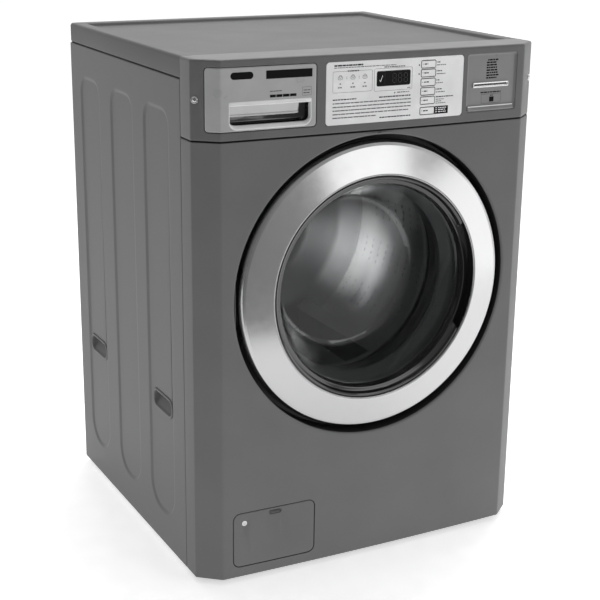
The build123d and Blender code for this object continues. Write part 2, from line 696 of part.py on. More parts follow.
def tub_rear():
    """Rear half: wall, ribbed back and bearing hub."""
    r = TUB_R + TUB_WALL
    y1 = TUB_Y[1]
    shell = turned([
        (TUB_R, 0), (FLANGE_R, 0), (FLANGE_R, 4), (r, 4), (r, y1), (48, y1), (44, y1 + 42),
        (BEARING_R, y1 + 42), (BEARING_R, y1 - 4), (TUB_R, y1 - 4)])
    for i in range(12):
        rib = box((46, 286), (y1 - 1, y1 + 14), (-2, 2))
        shell += Pos(0, 0, DOOR_Z) * Rot(0, 30 * i + 15, 0) * rib
    hub = rod_y(0, DOOR_Z, 40, 200, 300)
    shell -= hub & rod_y(0, DOOR_Z, BEARING_R, 200, 300)
    shell += spring_lugs(SPRING_Y[1]) - rod_y(0, DOOR_Z, TUB_R + 1, -300, 300)
    return shell + damper_lugs(DAMPER_Y[1]) - rod_y(0, DOOR_Z, TUB_R, 5, y1 - 5)


def spring_lugs(y):
    lugs = box((-SPRING_X - 18, -SPRING_X + 18), (y - 15, y + 15), (735, SPRING_Z[0]))
    return lugs + mirrored(lugs)


def damper_lugs(y):
    lugs = box((-DAMPER_X - 14, -DAMPER_X + 14), (y - 12, y + 12), (270, 305))
    return lugs + mirrored(lugs)


def counterweights():
    """Cast weights above and below the mouth, on the tub's front."""
    y0 = TUB_Y[0]
    return Compound(children=[sector(206, 288, y0 - 42, y0 - 0.2, mid, 58) for mid in (90, 270)])


def stator():
    ring = ring_y(62, 110, 270, 292)
    for i in range(24):
        tooth = box((108, 124), (272, 290), (-5, 5))
        ring += Pos(0, 0, DOOR_Z) * Rot(0, 15 * i, 0) * tooth
    hub = ring_y(44.5, 64, 268.3, 274)
    return ring + hub


def drum_bearings():
    return Compound(children=[
        ring_y(SHAFT_R + RUN, BEARING_R, 228, 245),
        ring_y(SHAFT_R + RUN, BEARING_R, 250, 266),
        ring_y(SHAFT_R + RUN, BEARING_R, 222.5, 227.5)])


def damper_cylinders():
    """Friction damper tubes that stand on the base pan."""
    tubes = []
    for x in (-DAMPER_X, DAMPER_X):
        for y in DAMPER_Y:
            tube = rod_z(x, y, 17, FOOT_H + 2, 170) - rod_z(x, y, 14, 22, 166)
            tubes.append(tube - rod_z(x, y, 6.4, 160, 180))
    return Compound(children=tubes)


def damper_rods():
    rods = []
    for x in (-DAMPER_X, DAMPER_X):
        for y in DAMPER_Y:
            rods.append(rod_z(x, y, 6, 70, 270) + rod_z(x, y, 13.6, 70, 84))
    return Compound(children=rods)


def suspension_springs():
    """Four coil springs between the braces and the tub."""
    wire = 2.2
    coil = 14.0
    low = SPRING_Z[0] + wire + 0.2
    high = SPRING_Z[1] - wire - 0.2
    springs = []
    for x in (-SPRING_X, SPRING_X):
        for y in SPRING_Y:
            helix = Helix(pitch=9.6, height=high - low, radius=coil)
            section = Plane(helix @ 0, z_dir=helix % 0) * Circle(wire)
            springs.append(Pos(x, y, low) * sweep(section, path=helix, is_frenet=True))
    return Compound(children=springs)


# --- Drum ---

def drum_shell():
    y0 = DRUM_Y[0]
    y1 = DRUM_Y[1]
    return turned([
        (DRUM_MOUTH_R, y0 + 6), (DRUM_MOUTH_R, y0 - 1), (DRUM_MOUTH_R + 3, y0 - 4), (DRUM_MOUTH_R + 9, y0),
        (DRUM_R - 10, y0), (DRUM_R, y0 + 10), (DRUM_R, y1), (DRUM_R - 1.5, y1), (DRUM_R - 1.5, y0 + 11),
        (DRUM_R - 11, y0 + 1.5), (DRUM_MOUTH_R + 8, y0 + 1.5), (DRUM_MOUTH_R + 3, y0 - 2),
        (DRUM_MOUTH_R + 1.5, y0), (DRUM_MOUTH_R + 1.5, y0 + 6)])


def drum_back():
    r = DRUM_R - 1.5
    y1 = DRUM_Y[1]
    return turned([
        (0, y1 - 8), (60, y1 - 8), (80, y1 - 2), (r, y1 - 2), (r, y1), (78, y1), (58, y1 - 6), (0, y1 - 6)])


def drum_lifters():
    """Three ridges on the drum wall."""
    inside = rod_y(0, DOOR_Z, DRUM_R - 1.5, -165, 160)
    lifters = []
    for angle in LIFTER_ANGLES:
        plane = Plane(origin=(0, -165, DOOR_Z), x_dir=(sin(radians(angle)), 0, -cos(radians(angle))),
                      z_dir=(0, 1, 0))
        outline = make_face(Polyline((-40, -275), (40, -275), (14, -214), (-14, -214), close=True))
        lifters.append(extrude(plane * outline, amount=325) & inside)
    return Compound(children=lifters)


def drum_spider():
    """Cast three-armed spider on the drum's back."""
    y1 = DRUM_Y[1]
    spider = ring_y(SHAFT_R, 38, y1, y1 + 28)
    for angle in (0, 120, 240):
        arm = box((30, 262), (y1, y1 + 20), (-14, 14))
        spider += Pos(0, 0, DOOR_Z) * Rot(0, angle, 0) * arm
    return spider - rod_y(0, DOOR_Z, SHAFT_R, 180, 240)


def drum_shaft():
    """Shaft from the spider to the rotor, and the bolt that clamps the rotor."""
    shaft = rod_y(0, DOOR_Z, SHAFT_R, DRUM_Y[1], 300)
    bolt = Pos(0, 300, DOOR_Z) * Rot(-90, 0, 0) * extrude(RegularPolygon(20, 6), amount=9)
    return Compound(children=[shaft, bolt])


def rotor():
    """Steel cup with magnets around the stator."""
    cup = turned([
        (SHAFT_R, 300), (SHAFT_R, 294.5), (40, 296), (132, 296), (132, 264), (136, 264), (136, 300)])
    for i in range(24):
        magnet = box((126.5, 132.6), (270, 292), (-13, 13))
        cup += Pos(0, 0, DOOR_Z) * Rot(0, 15 * i, 0) * magnet
    return cup


NODES = {
    "left_side_panel": left_side_panel,
    "right_side_panel": lambda: mirrored(left_side_panel()),
    "side_grips": side_grips,
    "rear_panel": rear_panel,
    "rear_access_cover": rear_access_cover,
    "base_pan": base_pan,
    "levelling_feet": levelling_feet,
    "cross_braces": cross_braces,
    "top_panel": top_panel,
    "front_panel": front_panel,
    "control_housing": control_housing,
    "control_overlay": control_overlay,
    "display_window": display_window,
    "control_board": control_board,
    "card_reader_plate": card_reader_plate,
    "card_slot_bezel": card_slot_bezel,
    "panel_lock_barrels": panel_lock_barrels,
    "lock_plug_left": lambda: lock_plug(-1),
    "lock_plug_right": lambda: lock_plug(1),
    "drawer_front": drawer_front,
    "drawer_tray": drawer_tray,
    "dispenser_housing": dispenser_housing,
    "service_flap": service_flap,
    "filter_housing": filter_housing,
    "filter_cap": filter_cap,
    "drain_pump": drain_pump,
    "sump_hose": sump_hose,
    "drain_hose": drain_hose,
    "drain_outlet": drain_outlet,
    "inlet_valves": inlet_valves,
    "supply_gland": supply_gland,
    "cabinet_screws": cabinet_screws,
    "hinge_bracket": hinge_bracket,
    "hinge_arm": hinge_arm,
    "door_ring": door_ring,
    "door_frame": door_frame,
    "door_glass": door_glass,
    "latch_hook": latch_hook,
    "door_lock": door_lock,
    "door_gasket": door_gasket,
    "tub_front": tub_front,
    "tub_rear": tub_rear,
    "counterweights": counterweights,
    "stator": stator,
    "drum_bearings": drum_bearings,
    "damper_cylinders": damper_cylinders,
    "damper_rods": damper_rods,
    "suspension_springs": suspension_springs,
    "drum_shell": drum_shell,
    "drum_back": drum_back,
    "drum_lifters": drum_lifters,
    "drum_spider": drum_spider,
    "drum_shaft": drum_shaft,
    "rotor": rotor,
}
for i, z_key in enumerate(KEY_Z):
    NODES[f"button_{i + 1}"] = lambda z=z_key: button(z)

os.makedirs("parts", exist_ok=True)
for name, make in NODES.items():
    export_step(make(), f"parts/{name}.step")
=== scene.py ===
import math
import random

import bmesh
import bpy
from mathutils import Matrix, Vector


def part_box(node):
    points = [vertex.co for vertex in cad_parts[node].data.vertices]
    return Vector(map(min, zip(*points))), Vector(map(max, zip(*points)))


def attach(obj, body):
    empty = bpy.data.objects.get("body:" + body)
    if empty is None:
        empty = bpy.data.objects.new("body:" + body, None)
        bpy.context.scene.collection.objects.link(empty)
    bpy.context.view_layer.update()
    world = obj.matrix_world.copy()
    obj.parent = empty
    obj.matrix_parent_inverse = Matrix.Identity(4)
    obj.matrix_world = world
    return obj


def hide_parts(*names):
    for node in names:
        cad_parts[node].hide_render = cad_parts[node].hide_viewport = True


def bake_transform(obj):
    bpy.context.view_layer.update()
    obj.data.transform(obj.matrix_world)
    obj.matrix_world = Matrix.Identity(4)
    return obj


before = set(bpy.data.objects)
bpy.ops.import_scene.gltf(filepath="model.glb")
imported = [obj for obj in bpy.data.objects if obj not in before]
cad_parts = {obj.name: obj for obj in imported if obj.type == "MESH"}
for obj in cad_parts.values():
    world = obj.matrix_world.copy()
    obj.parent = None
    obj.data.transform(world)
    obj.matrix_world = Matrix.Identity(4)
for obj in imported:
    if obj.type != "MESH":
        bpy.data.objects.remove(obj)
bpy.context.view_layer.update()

random.seed(11)

MM = 0.001

# Places read from the frame
panel_low, panel_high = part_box("front_panel")
side_low, side_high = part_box("left_side_panel")
lid_low, lid_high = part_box("top_panel")
housing_low, housing_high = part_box("control_housing")
ring_low, ring_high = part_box("door_ring")
drum_low, drum_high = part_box("drum_shell")
flap_low, flap_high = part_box("service_flap")
drawer_low, drawer_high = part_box("drawer_front")
overlay_low, overlay_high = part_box("control_overlay")
window_low, window_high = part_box("display_window")
bezel_low, bezel_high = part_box("card_slot_bezel")

HALF_W = panel_high.x
FRONT_Y = panel_low.y
SEAM_Y = panel_high.y
AXIS_Z = (ring_low.z + ring_high.z) / 2

# Plan outline of the front, the same as the solid model's
STRIP_Y = SEAM_Y - 41.5 * MM
CHAMFER_X = 303.4 * MM
CHAMFER_Y = FRONT_Y + 5.5 * MM
CORNER_SOFT = 9 * MM
EDGE_SOFT = 5 * MM

SEGMENTS = 192


# --- The front surface as a developable sheet: s runs along the outline, z up, depth inward ---

def rounded_path(points, radii, steps=6):
    """Polyline with its inner corners rounded by tangent arcs."""
    out = [Vector(points[0])]
    for i in range(1, len(points) - 1):
        p, a, b = Vector(points[i]), Vector(points[i - 1]), Vector(points[i + 1])
        u, v = (a - p).normalized(), (b - p).normalized()
        half = u.angle(v) / 2
        reach = radii[i - 1] / math.tan(half)
        centre = p + (u + v).normalized() * (radii[i - 1] / math.sin(half))
        start, end = (p + u * reach - centre).normalized(), (p + v * reach - centre).normalized()
        for k in range(steps + 1):
            out.append(centre + start.slerp(end, k / steps) * radii[i - 1])
    out.append(Vector(points[-1]))
    return out


def front_profile():
    """Right half of the outline from the middle of the face to the side seam, as 3-D vectors at z = 0."""
    bow = CHAMFER_Y - FRONT_Y
    arc = []
    count = 16
    for k in range(count):
        x = CHAMFER_X * k / count
        arc.append((x, CHAMFER_Y - bow * (1 - (x / CHAMFER_X) ** 2), 0))
    corner = rounded_path([arc[-1], (CHAMFER_X, CHAMFER_Y, 0), (HALF_W, STRIP_Y, 0), (HALF_W, SEAM_Y, 0)],
                          [CORNER_SOFT, EDGE_SOFT])
    return [Vector(p) for p in arc[:-1]] + corner


PROFILE = front_profile()
LENGTHS = [0]
for a, b in zip(PROFILE, PROFILE[1:]):
    LENGTHS.append(LENGTHS[-1] + (b - a).length)
S_END = LENGTHS[-1]
S_CUTS = [-s for s in LENGTHS[:0:-1]] + LENGTHS


def s_at_x(x):
    """Distance along the outline to the point of the front at x."""
    for a, b, s0, s1 in zip(PROFILE, PROFILE[1:], LENGTHS, LENGTHS[1:]):
        if a.x <= abs(x) <= b.x and b.x > a.x:
            return math.copysign(s0 + (s1 - s0) * (abs(x) - a.x) / (b.x - a.x), x)
    return math.copysign(S_END, x)


def on_front(s, z, depth=0):
    """Point of the front at distance s along the outline, pushed in square to the surface by depth."""
    t = min(abs(s), S_END)
    i = max(k for k in range(len(LENGTHS) - 1) if LENGTHS[k] <= t + 1e-9)
    a, b = PROFILE[i], PROFILE[i + 1]
    f = (t - LENGTHS[i]) / (LENGTHS[i + 1] - LENGTHS[i])

    def tangent(k):
        lo, hi = PROFILE[max(k - 1, 0)], PROFILE[min(k + 1, len(PROFILE) - 1)]
        return Vector((1, 0, 0)) if k == 0 else (hi - lo).normalized()
    way = (tangent(i) * (1 - f) + tangent(i + 1) * f).normalized()
    inward = Vector((-way.y, way.x, 0))
    p = a.lerp(b, f) + inward * depth
    return Vector((math.copysign(p.x, s) if s else p.x, p.y, z))


# --- Mesh helpers ---

def smooth(t):
    """Soft step from 0 to 1."""
    return t * t * (3 - 2 * t)


def loop(bm, points):
    """New vertices at the points."""
    return [bm.verts.new(p) for p in points]


def bridge(bm, a, b, closed=True, skip=None):
    """Quads between two loops of the same length."""
    n = len(a)
    for i in range(n if closed else n - 1):
        j = (i + 1) % n
        if skip and skip(i):
            continue
        bm.faces.new((a[i], a[j], b[j], b[i]))


def bridges(bm, loops, closed=True):
    """Quads between each loop and the next."""
    for a, b in zip(loops, loops[1:]):
        bridge(bm, a, b, closed)


def fill(bm, *loops):
    """Flat fill of the first loop with the others as holes."""
    edges = []
    for ring in loops:
        for i in range(len(ring)):
            pair = (ring[i], ring[(i + 1) % len(ring)])
            edges.append(bm.edges.get(pair) or bm.edges.new(pair))
    return bmesh.ops.triangle_fill(bm, use_beauty=True, use_dissolve=False, edges=edges)


def add(name, data):
    """New object in the scene."""
    obj = bpy.data.objects.new(name, data)
    bpy.context.scene.collection.objects.link(obj)
    return obj


def make(bm, name, material, body, replaces=(), crease=38, weld=1e-5):
    """Turns a bmesh into a smooth-shaded piece that rides on a body, if one is given."""
    bmesh.ops.remove_doubles(bm, verts=bm.verts, dist=weld)
    bmesh.ops.recalc_face_normals(bm, faces=bm.faces)
    limit = math.radians(crease)
    for e in bm.edges:
        e.smooth = len(e.link_faces) != 2 or e.calc_face_angle(0) < limit
    for f in bm.faces:
        f.smooth = True
    mesh = bpy.data.meshes.new(name)
    bm.to_mesh(mesh)
    bm.free()
    obj = add(name, mesh)
    obj.data.materials.append(material)
    if body:
        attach(obj, body)
    if replaces:
        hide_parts(*replaces)
    return obj


def rounded_rect(u0, u1, v0, v1, r, grow=0, corner=6, cuts=()):
    """Rounded rectangle as (u, v) points; r may be (bottom, top), and cuts adds points along u."""
    low, top = r if isinstance(r, tuple) else (r, r)
    reach = max(low, top) + 1e-6
    u_in = [u for u in sorted(cuts) if u0 + reach < u < u1 - reach]
    a0, a1, b0, b1 = u0 - grow, u1 + grow, v0 - grow, v1 + grow
    rl, rt = max(low + grow, 1e-5), max(top + grow, 1e-5)
    pts = []
    for cx, cy, rr, start in ((a1 - rl, b0 + rl, rl, -90), (a1 - rt, b1 - rt, rt, 0),
                              (a0 + rt, b1 - rt, rt, 90), (a0 + rl, b0 + rl, rl, 180)):
        if start == -90:
            pts += [(u, b0) for u in u_in]
        if start == 90:
            pts += [(u, b1) for u in reversed(u_in)]
        for k in range(corner + 1):
            t = math.radians(start + 90 * k / corner)
            pts.append((cx + rr * math.cos(t), cy + rr * math.sin(t)))
    return pts


def circle(cu, cv, r, n=24):
    """Circle as (u, v) points."""
    return [(cu + r * math.cos(2 * math.pi * k / n),
             cv + r * math.sin(2 * math.pi * k / n)) for k in range(n)]


def lathe(name, profile, material, body, replaces=(), crease=38, closed=True, change=None):
    """Turns (radius, y) millimetre points about the door and drum axis; change may move each point."""
    bm = bmesh.new()
    rings = []
    for r, y in profile:
        ring = []
        for k in range(SEGMENTS):
            t = 2 * math.pi * k / SEGMENTS
            rr, yy = change(r * MM, y * MM, t) if change else (r * MM, y * MM)
            ring.append((rr * math.cos(t), yy, AXIS_Z + rr * math.sin(t)))
        rings.append(loop(bm, ring))
    bridges(bm, rings)
    if closed:
        bridge(bm, rings[-1], rings[0])
    return make(bm, name, material, body, replaces, crease)


def soften(points, radii, steps=4):
    """Rounds the corners of an open (radius, y) outline; a radius of 0 keeps the corner."""
    out = [points[0]]
    for i in range(1, len(points) - 1):
        r = radii[i - 1]
        if r == 0:
            out.append(points[i])
            continue
        path = rounded_path([(*points[i - 1], 0), (*points[i], 0), (*points[i + 1], 0)], [r], steps)
        out += [(p.x, p.y) for p in path[1:-1]]
    out.append(points[-1])
    return out


def front_piece(bm, outer, holes=(), depth=0):
    """Piece of the front: a filled (s, z) outline with holes, cut along the outline's bends."""
    patch = bmesh.new()
    rings = [loop(patch, [(u, 0, v) for u, v in ring]) for ring in (outer, *holes)]
    fill(patch, *rings)
    low, high = min(u for u, v in outer), max(u for u, v in outer)
    for s in S_CUTS:
        if low + 1e-5 < s < high - 1e-5:
            geom = patch.verts[:] + patch.edges[:] + patch.faces[:]
            bmesh.ops.bisect_plane(patch, geom=geom, plane_co=(s, 0, 0), plane_no=(1, 0, 0), dist=1e-7)
    for v in patch.verts:
        v.co = on_front(v.co.x, v.co.z, depth)
    mesh = bpy.data.meshes.new("patch")
    patch.to_mesh(mesh)
    patch.free()
    bm.from_mesh(mesh)
    bpy.data.meshes.remove(mesh)


def front_ring(bm, shapes):
    """Quads between nested (s, z) outlines, each given with its depth."""
    loops = [loop(bm, [on_front(u, v, d) for u, v in pts]) for pts, d in shapes]
    bridges(bm, loops)
    return loops


def nested(bm, shape, steps, cap=False, place=on_front):
    """Quads between outlines of one shape at (size, depth) steps in millimetres; cap closes the last."""
    loops = [loop(bm, [place(u, v, d * MM) for u, v in shape(g)]) for g, d in steps]
    bridges(bm, loops)
    if cap:
        bm.faces.new(loops[-1])
    return loops


def rolled(bm, base, way, steps):
    """Long edge across the whole front from height base: steps are (height, depth) in millimetres."""
    rows = [loop(bm, [on_front(s, base + way * g * MM, d * MM) for s in S_CUTS]) for g, d in steps]
    bridges(bm, rows, closed=False)
    return rows


def band(low, high):
    """Outline of the whole front between two heights."""
    return [(s, low) for s in S_CUTS] + [(s, high) for s in reversed(S_CUTS)]


def round_at(at):
    """Circle about a point of the front, as a function of its radius in millimetres."""
    return lambda r: circle(*at, r * MM)


def rect_at(box, r, cuts=()):
    """Rounded rectangle, as a function of its growth; the radius and the growth are in millimetres."""
    return lambda g: rounded_rect(*box, r * MM, g * MM, cuts=cuts)


def rim(bm, box, r, steps, gap=0):
    """Edge of a rounded rectangle at (growth, depth) steps in millimetres; returns its first outline."""
    outline_at = rect_at(box, r, S_CUTS)
    nested(bm, lambda g: outline_at(g + gap), steps)
    return outline_at(steps[0][0] + gap)


def s_box(x0, x1, z0, z1):
    """Box of the front with its x values turned into distances along the outline."""
    return (s_at_x(x0), s_at_x(x1), z0, z1)


def swept(name, material, body, cols, rows, limit, crease=60):
    """Moulding along the front: rows are (height, depth), cols are (s, added depth) up to a limit."""
    bm = bmesh.new()
    grid = []
    for z, depth in rows:
        grid.append(loop(bm, [on_front(s, z * MM, min(depth + more, limit) * MM) for s, more in cols]))
    bridges(bm, grid, closed=False)
    make(bm, name, material, body, crease=crease)


# --- Materials ---

# Depth of the relief in the shading
COARSE = 0.4 * MM
FINE = 0.2 * MM


def shader(name, base, rough, metallic=0, **more):
    """Principled material with its constants set; returns it with its nodes, links and shader."""
    mat = bpy.data.materials.new(name)
    mat.use_nodes = True
    nodes, links = mat.node_tree.nodes, mat.node_tree.links
    bsdf = nodes["Principled BSDF"]
    bsdf.inputs["Base Color"].default_value = (*base, 1)
    bsdf.inputs["Roughness"].default_value = rough
    bsdf.inputs["Metallic"].default_value = metallic
    for key, value in more.items():
        bsdf.inputs[key.replace("_", " ")].default_value = value
    return mat, nodes, links, bsdf


def noise(nodes, links, scale, detail=2):
    """Noise value over the object's own coordinates."""
    coords = nodes.new("ShaderNodeTexCoord")
    tex = nodes.new("ShaderNodeTexNoise")
    tex.inputs["Scale"].default_value = scale
    tex.inputs["Detail"].default_value = detail
    links.new(coords.outputs["Object"], tex.inputs["Vector"])
    return tex.outputs["Fac"]


def ranged(nodes, links, source, low, high):
    """Maps the middle of a noise value's range to the range from low to high."""
    span = nodes.new("ShaderNodeMapRange")
    span.inputs["From Min"].default_value = 0.3
    span.inputs["From Max"].default_value = 0.7
    span.inputs["To Min"].default_value = low
    span.inputs["To Max"].default_value = high
    links.new(source, span.inputs["Value"])
    return span.outputs["Result"]


def tint(nodes, links, bsdf, source, dark, light):
    """Base colour that drifts between two close colours."""
    mix = nodes.new("ShaderNodeMix")
    mix.data_type = "RGBA"
    mix.inputs[6].default_value = (*dark, 1)
    mix.inputs[7].default_value = (*light, 1)
    links.new(ranged(nodes, links, source, 0, 1), mix.inputs[0])
    links.new(mix.outputs[2], bsdf.inputs["Base Color"])


def bump(nodes, links, bsdf, height, strength, distance):
    """Small relief in the shading."""
    node = nodes.new("ShaderNodeBump")
    node.inputs["Strength"].default_value = strength
    node.inputs["Distance"].default_value = distance
    links.new(height, node.inputs["Height"])
    links.new(node.outputs["Normal"], bsdf.inputs["Normal"])


def grey(v):
    """Neutral colour with a trace of blue."""
    return (v, v, v * 1.005)


def paint(name, value, rough=0.38, peel=0.10, gloss=0.05):
    """Powder coat: a fine orange peel, a faint drift of tone and little gloss."""
    mat, nodes, links, bsdf = shader(name, grey(value), rough, Specular_IOR_Level=gloss)
    drift = noise(nodes, links, 9, 3)
    tint(nodes, links, bsdf, drift, grey(value * 0.96), grey(value * 1.04))
    links.new(ranged(nodes, links, drift, rough - 0.04, rough + 0.04), bsdf.inputs["Roughness"])
    grain = noise(nodes, links, 900, 2)
    bump(nodes, links, bsdf, grain, peel, COARSE)
    return mat


def plastic(name, value, rough=0.35, grain=0.08, scale=1400, coat=0, gloss=0.5):
    """Moulded plastic with a fine spark-eroded grain."""
    mat, nodes, links, bsdf = shader(name, grey(value), rough, Coat_Weight=coat, Coat_Roughness=0.08,
                                     Specular_IOR_Level=gloss)
    tex = noise(nodes, links, scale, 2)
    bump(nodes, links, bsdf, tex, grain, FINE)
    drift = noise(nodes, links, 25, 2)
    tint(nodes, links, bsdf, drift, grey(value * 0.95), grey(value * 1.05))
    links.new(ranged(nodes, links, drift, rough * 0.9, rough * 1.1), bsdf.inputs["Roughness"])
    return mat


def metal(name, value, rough, scale=300, brush=0.05, spread=0.25, tone=0.06, bare=1):
    """Metal with a fine uneven surface; bare below 1 mixes in some of a plain shader."""
    mat, nodes, links, bsdf = shader(name, grey(value), rough, bare)
    tex = noise(nodes, links, scale, 4)
    links.new(ranged(nodes, links, tex, rough * (1 - spread), rough * (1 + spread)),
              bsdf.inputs["Roughness"])
    tint(nodes, links, bsdf, tex, grey(value * (1 - tone)), grey(min(value * (1 + tone), 1)))
    bump(nodes, links, bsdf, tex, brush, FINE)
    return mat


def rubber(name, value, rough=0.55):
    """Matt rubber with an uneven skin."""
    mat, nodes, links, bsdf = shader(name, grey(value), rough)
    tex = noise(nodes, links, 260, 4)
    bump(nodes, links, bsdf, tex, 0.12, COARSE)
    links.new(ranged(nodes, links, tex, rough - 0.08, rough + 0.08), bsdf.inputs["Roughness"])
    return mat


def glass(name):
    """Clear bowl glass: the body hardly bends light, and a coat gives the reflections."""
    mat, nodes, links, bsdf = shader(name, (0.86, 0.88, 0.88), 0, Transmission_Weight=1, IOR=1.01,
                                     Coat_Weight=1, Coat_IOR=1.5, Coat_Roughness=0.01)
    tex = noise(nodes, links, 30, 2)
    links.new(ranged(nodes, links, tex, 0, 0.02), bsdf.inputs["Roughness"])
    return mat


BODY = paint("body_paint", 0.185)
LID = paint("lid_paint", 0.12, rough=0.5, peel=0.16, gloss=0.2)
PANEL = plastic("panel_plastic", 0.165, rough=0.36, grain=0.10, gloss=0.15)
DRAWER = plastic("drawer_plastic", 0.46, rough=0.30, grain=0.05)
# A lighter, glossier copy of the drawer plastic: partly the pull's own finish, partly painted highlight on
# its brow and bead
PULL_AND_HIGHLIGHT = plastic("pull_plastic_and_highlight", 0.60, rough=0.16, grain=0.02, coat=0.5)
# Near-white plastic: painted highlight on the pull's lip and rim and on the pay ledge's top edge
PAINTED_HIGHLIGHT = plastic("painted_highlight_plastic", 0.84, rough=0.14, grain=0.01, coat=0.6)
LEDGE = plastic("ledge_plastic", 0.22, rough=0.18, grain=0.04, coat=0.4)
OVERLAY = plastic("overlay_film", 0.95, rough=0.26, grain=0.03)
KEY = plastic("key_film", 0.98, rough=0.30, grain=0.03)
# Print colour, also used as painted shade in the seams between panels
INK_AND_SHADE = plastic("ink_and_gap_shade", 0.006, rough=0.55, grain=0.02, gloss=0.08)
PALE_INK = plastic("pale_ink", 0.12, rough=0.5, grain=0.02, gloss=0.2)
WINDOW = plastic("window_black", 0.004, rough=0.12, grain=0, gloss=0.22)
SEGMENT = plastic("unlit_segment", 0.035, rough=0.30, grain=0, gloss=0.2)
# Gloss black plastic, also used as painted shade in the drawer cavity, the card slot and the keyways
GLOSS_BLACK = plastic("gloss_black", 0.014, rough=0.10, grain=0.015, coat=0.6)
# Dark plastic colour, also used as painted shade in the door recess and at the bottoms of the drum holes
DARK_AND_SHADE = plastic("dark_plastic", 0.022, rough=0.45, grain=0.12)
TRAY = plastic("tray_plastic", 0.60, rough=0.30, grain=0.05)
TUB = plastic("tub_plastic", 0.42, rough=0.50, grain=0.20, scale=500)
CHROME = metal("ring_chrome", 0.52, 0.20, scale=60, brush=0.004, spread=0.12, tone=0.015)
BRIGHT = metal("bright_steel", 0.80, 0.14, scale=120, brush=0.01, tone=0.03)
LOCK = metal("lock_nickel", 0.62, 0.22, scale=220, brush=0.03)
DRUM = metal("drum_steel", 0.45, 0.16, scale=60, brush=0.004, spread=0.12, tone=0.02, bare=0.6)
DRUM_BACK = metal("drum_back_steel", 0.38, 0.36, scale=60, brush=0.004, spread=0.12, tone=0.02, bare=0.8)
PLATE = plastic("pay_plate", 0.25, rough=0.30, grain=0.06, gloss=0.4)
ZINC = metal("zinc", 0.55, 0.36, scale=90, brush=0.08, tone=0.12)
GALVANISED = metal("galvanised", 0.50, 0.42, scale=45, brush=0.03, tone=0.10)
CAST = metal("cast_iron", 0.16, 0.62, scale=160, brush=0.5)
ALLOY = metal("cast_alloy", 0.52, 0.45, scale=120, brush=0.3)
COPPER = metal("wound_core", 0.24, 0.35, scale=300, brush=0.1)
BRASS = metal("brass_body", 0.50, 0.30, scale=120, brush=0.05)
BOARD = plastic("circuit_board", 0.06, rough=0.40, grain=0.10)
GASKET = rubber("gasket_rubber", 0.060, 0.40)
HOSE = rubber("hose_rubber", 0.035)
FOOT = rubber("foot_rubber", 0.030)
GLASS = glass("bowl_glass")


# --- Cabinet skins ---

RIB_DEPTH = 2.5
RIB_SPANS = [(SEAM_Y + 59 * MM, SEAM_Y + 171 * MM), (SEAM_Y + 234 * MM, SEAM_Y + 343 * MM),
             (SEAM_Y + 413 * MM, SEAM_Y + 515 * MM)]
RIB_Z = (side_low.z + 70 * MM, side_low.z + 843 * MM)
RIB_TOP_R = 30 * MM
RIB_BOTTOM_R = 48 * MM
grip_low, grip_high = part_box("side_grips")
GRIP_Z = (grip_low.z + grip_high.z) / 2
GRIP_Y = [SEAM_Y + 109 * MM, SEAM_Y + 462 * MM]
GRIP_L = 84 * MM
GRIP_H = 28 * MM


def side_panel(name, node, sign):
    """Pressed steel side: three ribs with soft slopes, grip cut-outs and a turned front edge."""
    outer_x = sign * HALF_W
    bm = bmesh.new()

    def at(u, v, d):
        return (outer_x - sign * d, u, v)
    edge = [(-3.4, 0), (-2, 0), (-1.3, 0.25), (-1, 0.9), (-0.9, 2), (-1.7, 4), (-1.7, 14)]
    border = nested(bm, rect_at((side_low.y, side_high.y, side_low.z, side_high.z), 3), edge, place=at)
    steps = 8
    slopes = [(5.5 - 9 * k / steps, RIB_DEPTH * smooth(k / steps)) for k in range(steps + 1)]
    slopes = [(slopes[0][0] + 2, 0)] + slopes + [(slopes[-1][0] - 2, RIB_DEPTH)]
    openings = []
    for lo, hi in RIB_SPANS:
        ribs = nested(bm, rib_outline(lo, hi), slopes, place=at)
        openings.append(ribs[0])
        cut = ((6.2, RIB_DEPTH), (5.9, RIB_DEPTH + 0.3), (5.8, 6))
        holes = [nested(bm, grip_outline(y), cut, place=at)[0] for y in GRIP_Y if lo < y < hi]
        fill(bm, ribs[-1], *holes)
    fill(bm, border[0], *openings)
    return make(bm, name, BODY, "cabinet", [node], crease=30)


def rib_outline(lo, hi):
    """Outline of a rib with small top corners and large bottom ones, as a function of its growth."""
    return lambda grow: rounded_rect(lo, hi, *RIB_Z, (RIB_BOTTOM_R, RIB_TOP_R), grow * MM, corner=12)


def grip_outline(y):
    """Outline of a side grip, as a function of its growth."""
    box = (y - GRIP_L / 2, y + GRIP_L / 2, GRIP_Z - GRIP_H / 2, GRIP_Z + GRIP_H / 2)
    return lambda grow: rounded_rect(*box, 12 * MM, grow * MM, corner=8)


def side_grips():
    """Grips: a raised lip, a deep top and a floor that slopes in from the bottom edge."""
    bm = bmesh.new()
    lip = ((5.4, 8), (5.4, 2.6), (5, 1.4), (4.2, 0.7), (3.2, 0.35), (2.2, 0.35), (1.2, 0.7), (0.5, 1.5),
           (0.2, 2.6))
    for sign in (-1, 1):

        def at(u, v, d):
            return (sign * (HALF_W - d), u, v)

        def scoop(u, v, share):
            deep = 4 + 16.5 * min(max((v - GRIP_Z + GRIP_H / 2) / GRIP_H, 0), 1)
            return at(u, v, (2.6 + (deep - 2.6) * share) * MM)
        for y in GRIP_Y:
            loops = nested(bm, grip_outline(y), lip, place=at)[-1:]
            for grow, share in ((-0.6, 0.55), (-1.6, 0.9), (-3, 1)):
                loops.append(loop(bm, [scoop(u, v, share) for u, v in grip_outline(y)(grow)]))
            bridges(bm, loops)
            fill(bm, loops[-1])
    return make(bm, "grips", BODY, "cabinet", ["side_grips"], crease=50)


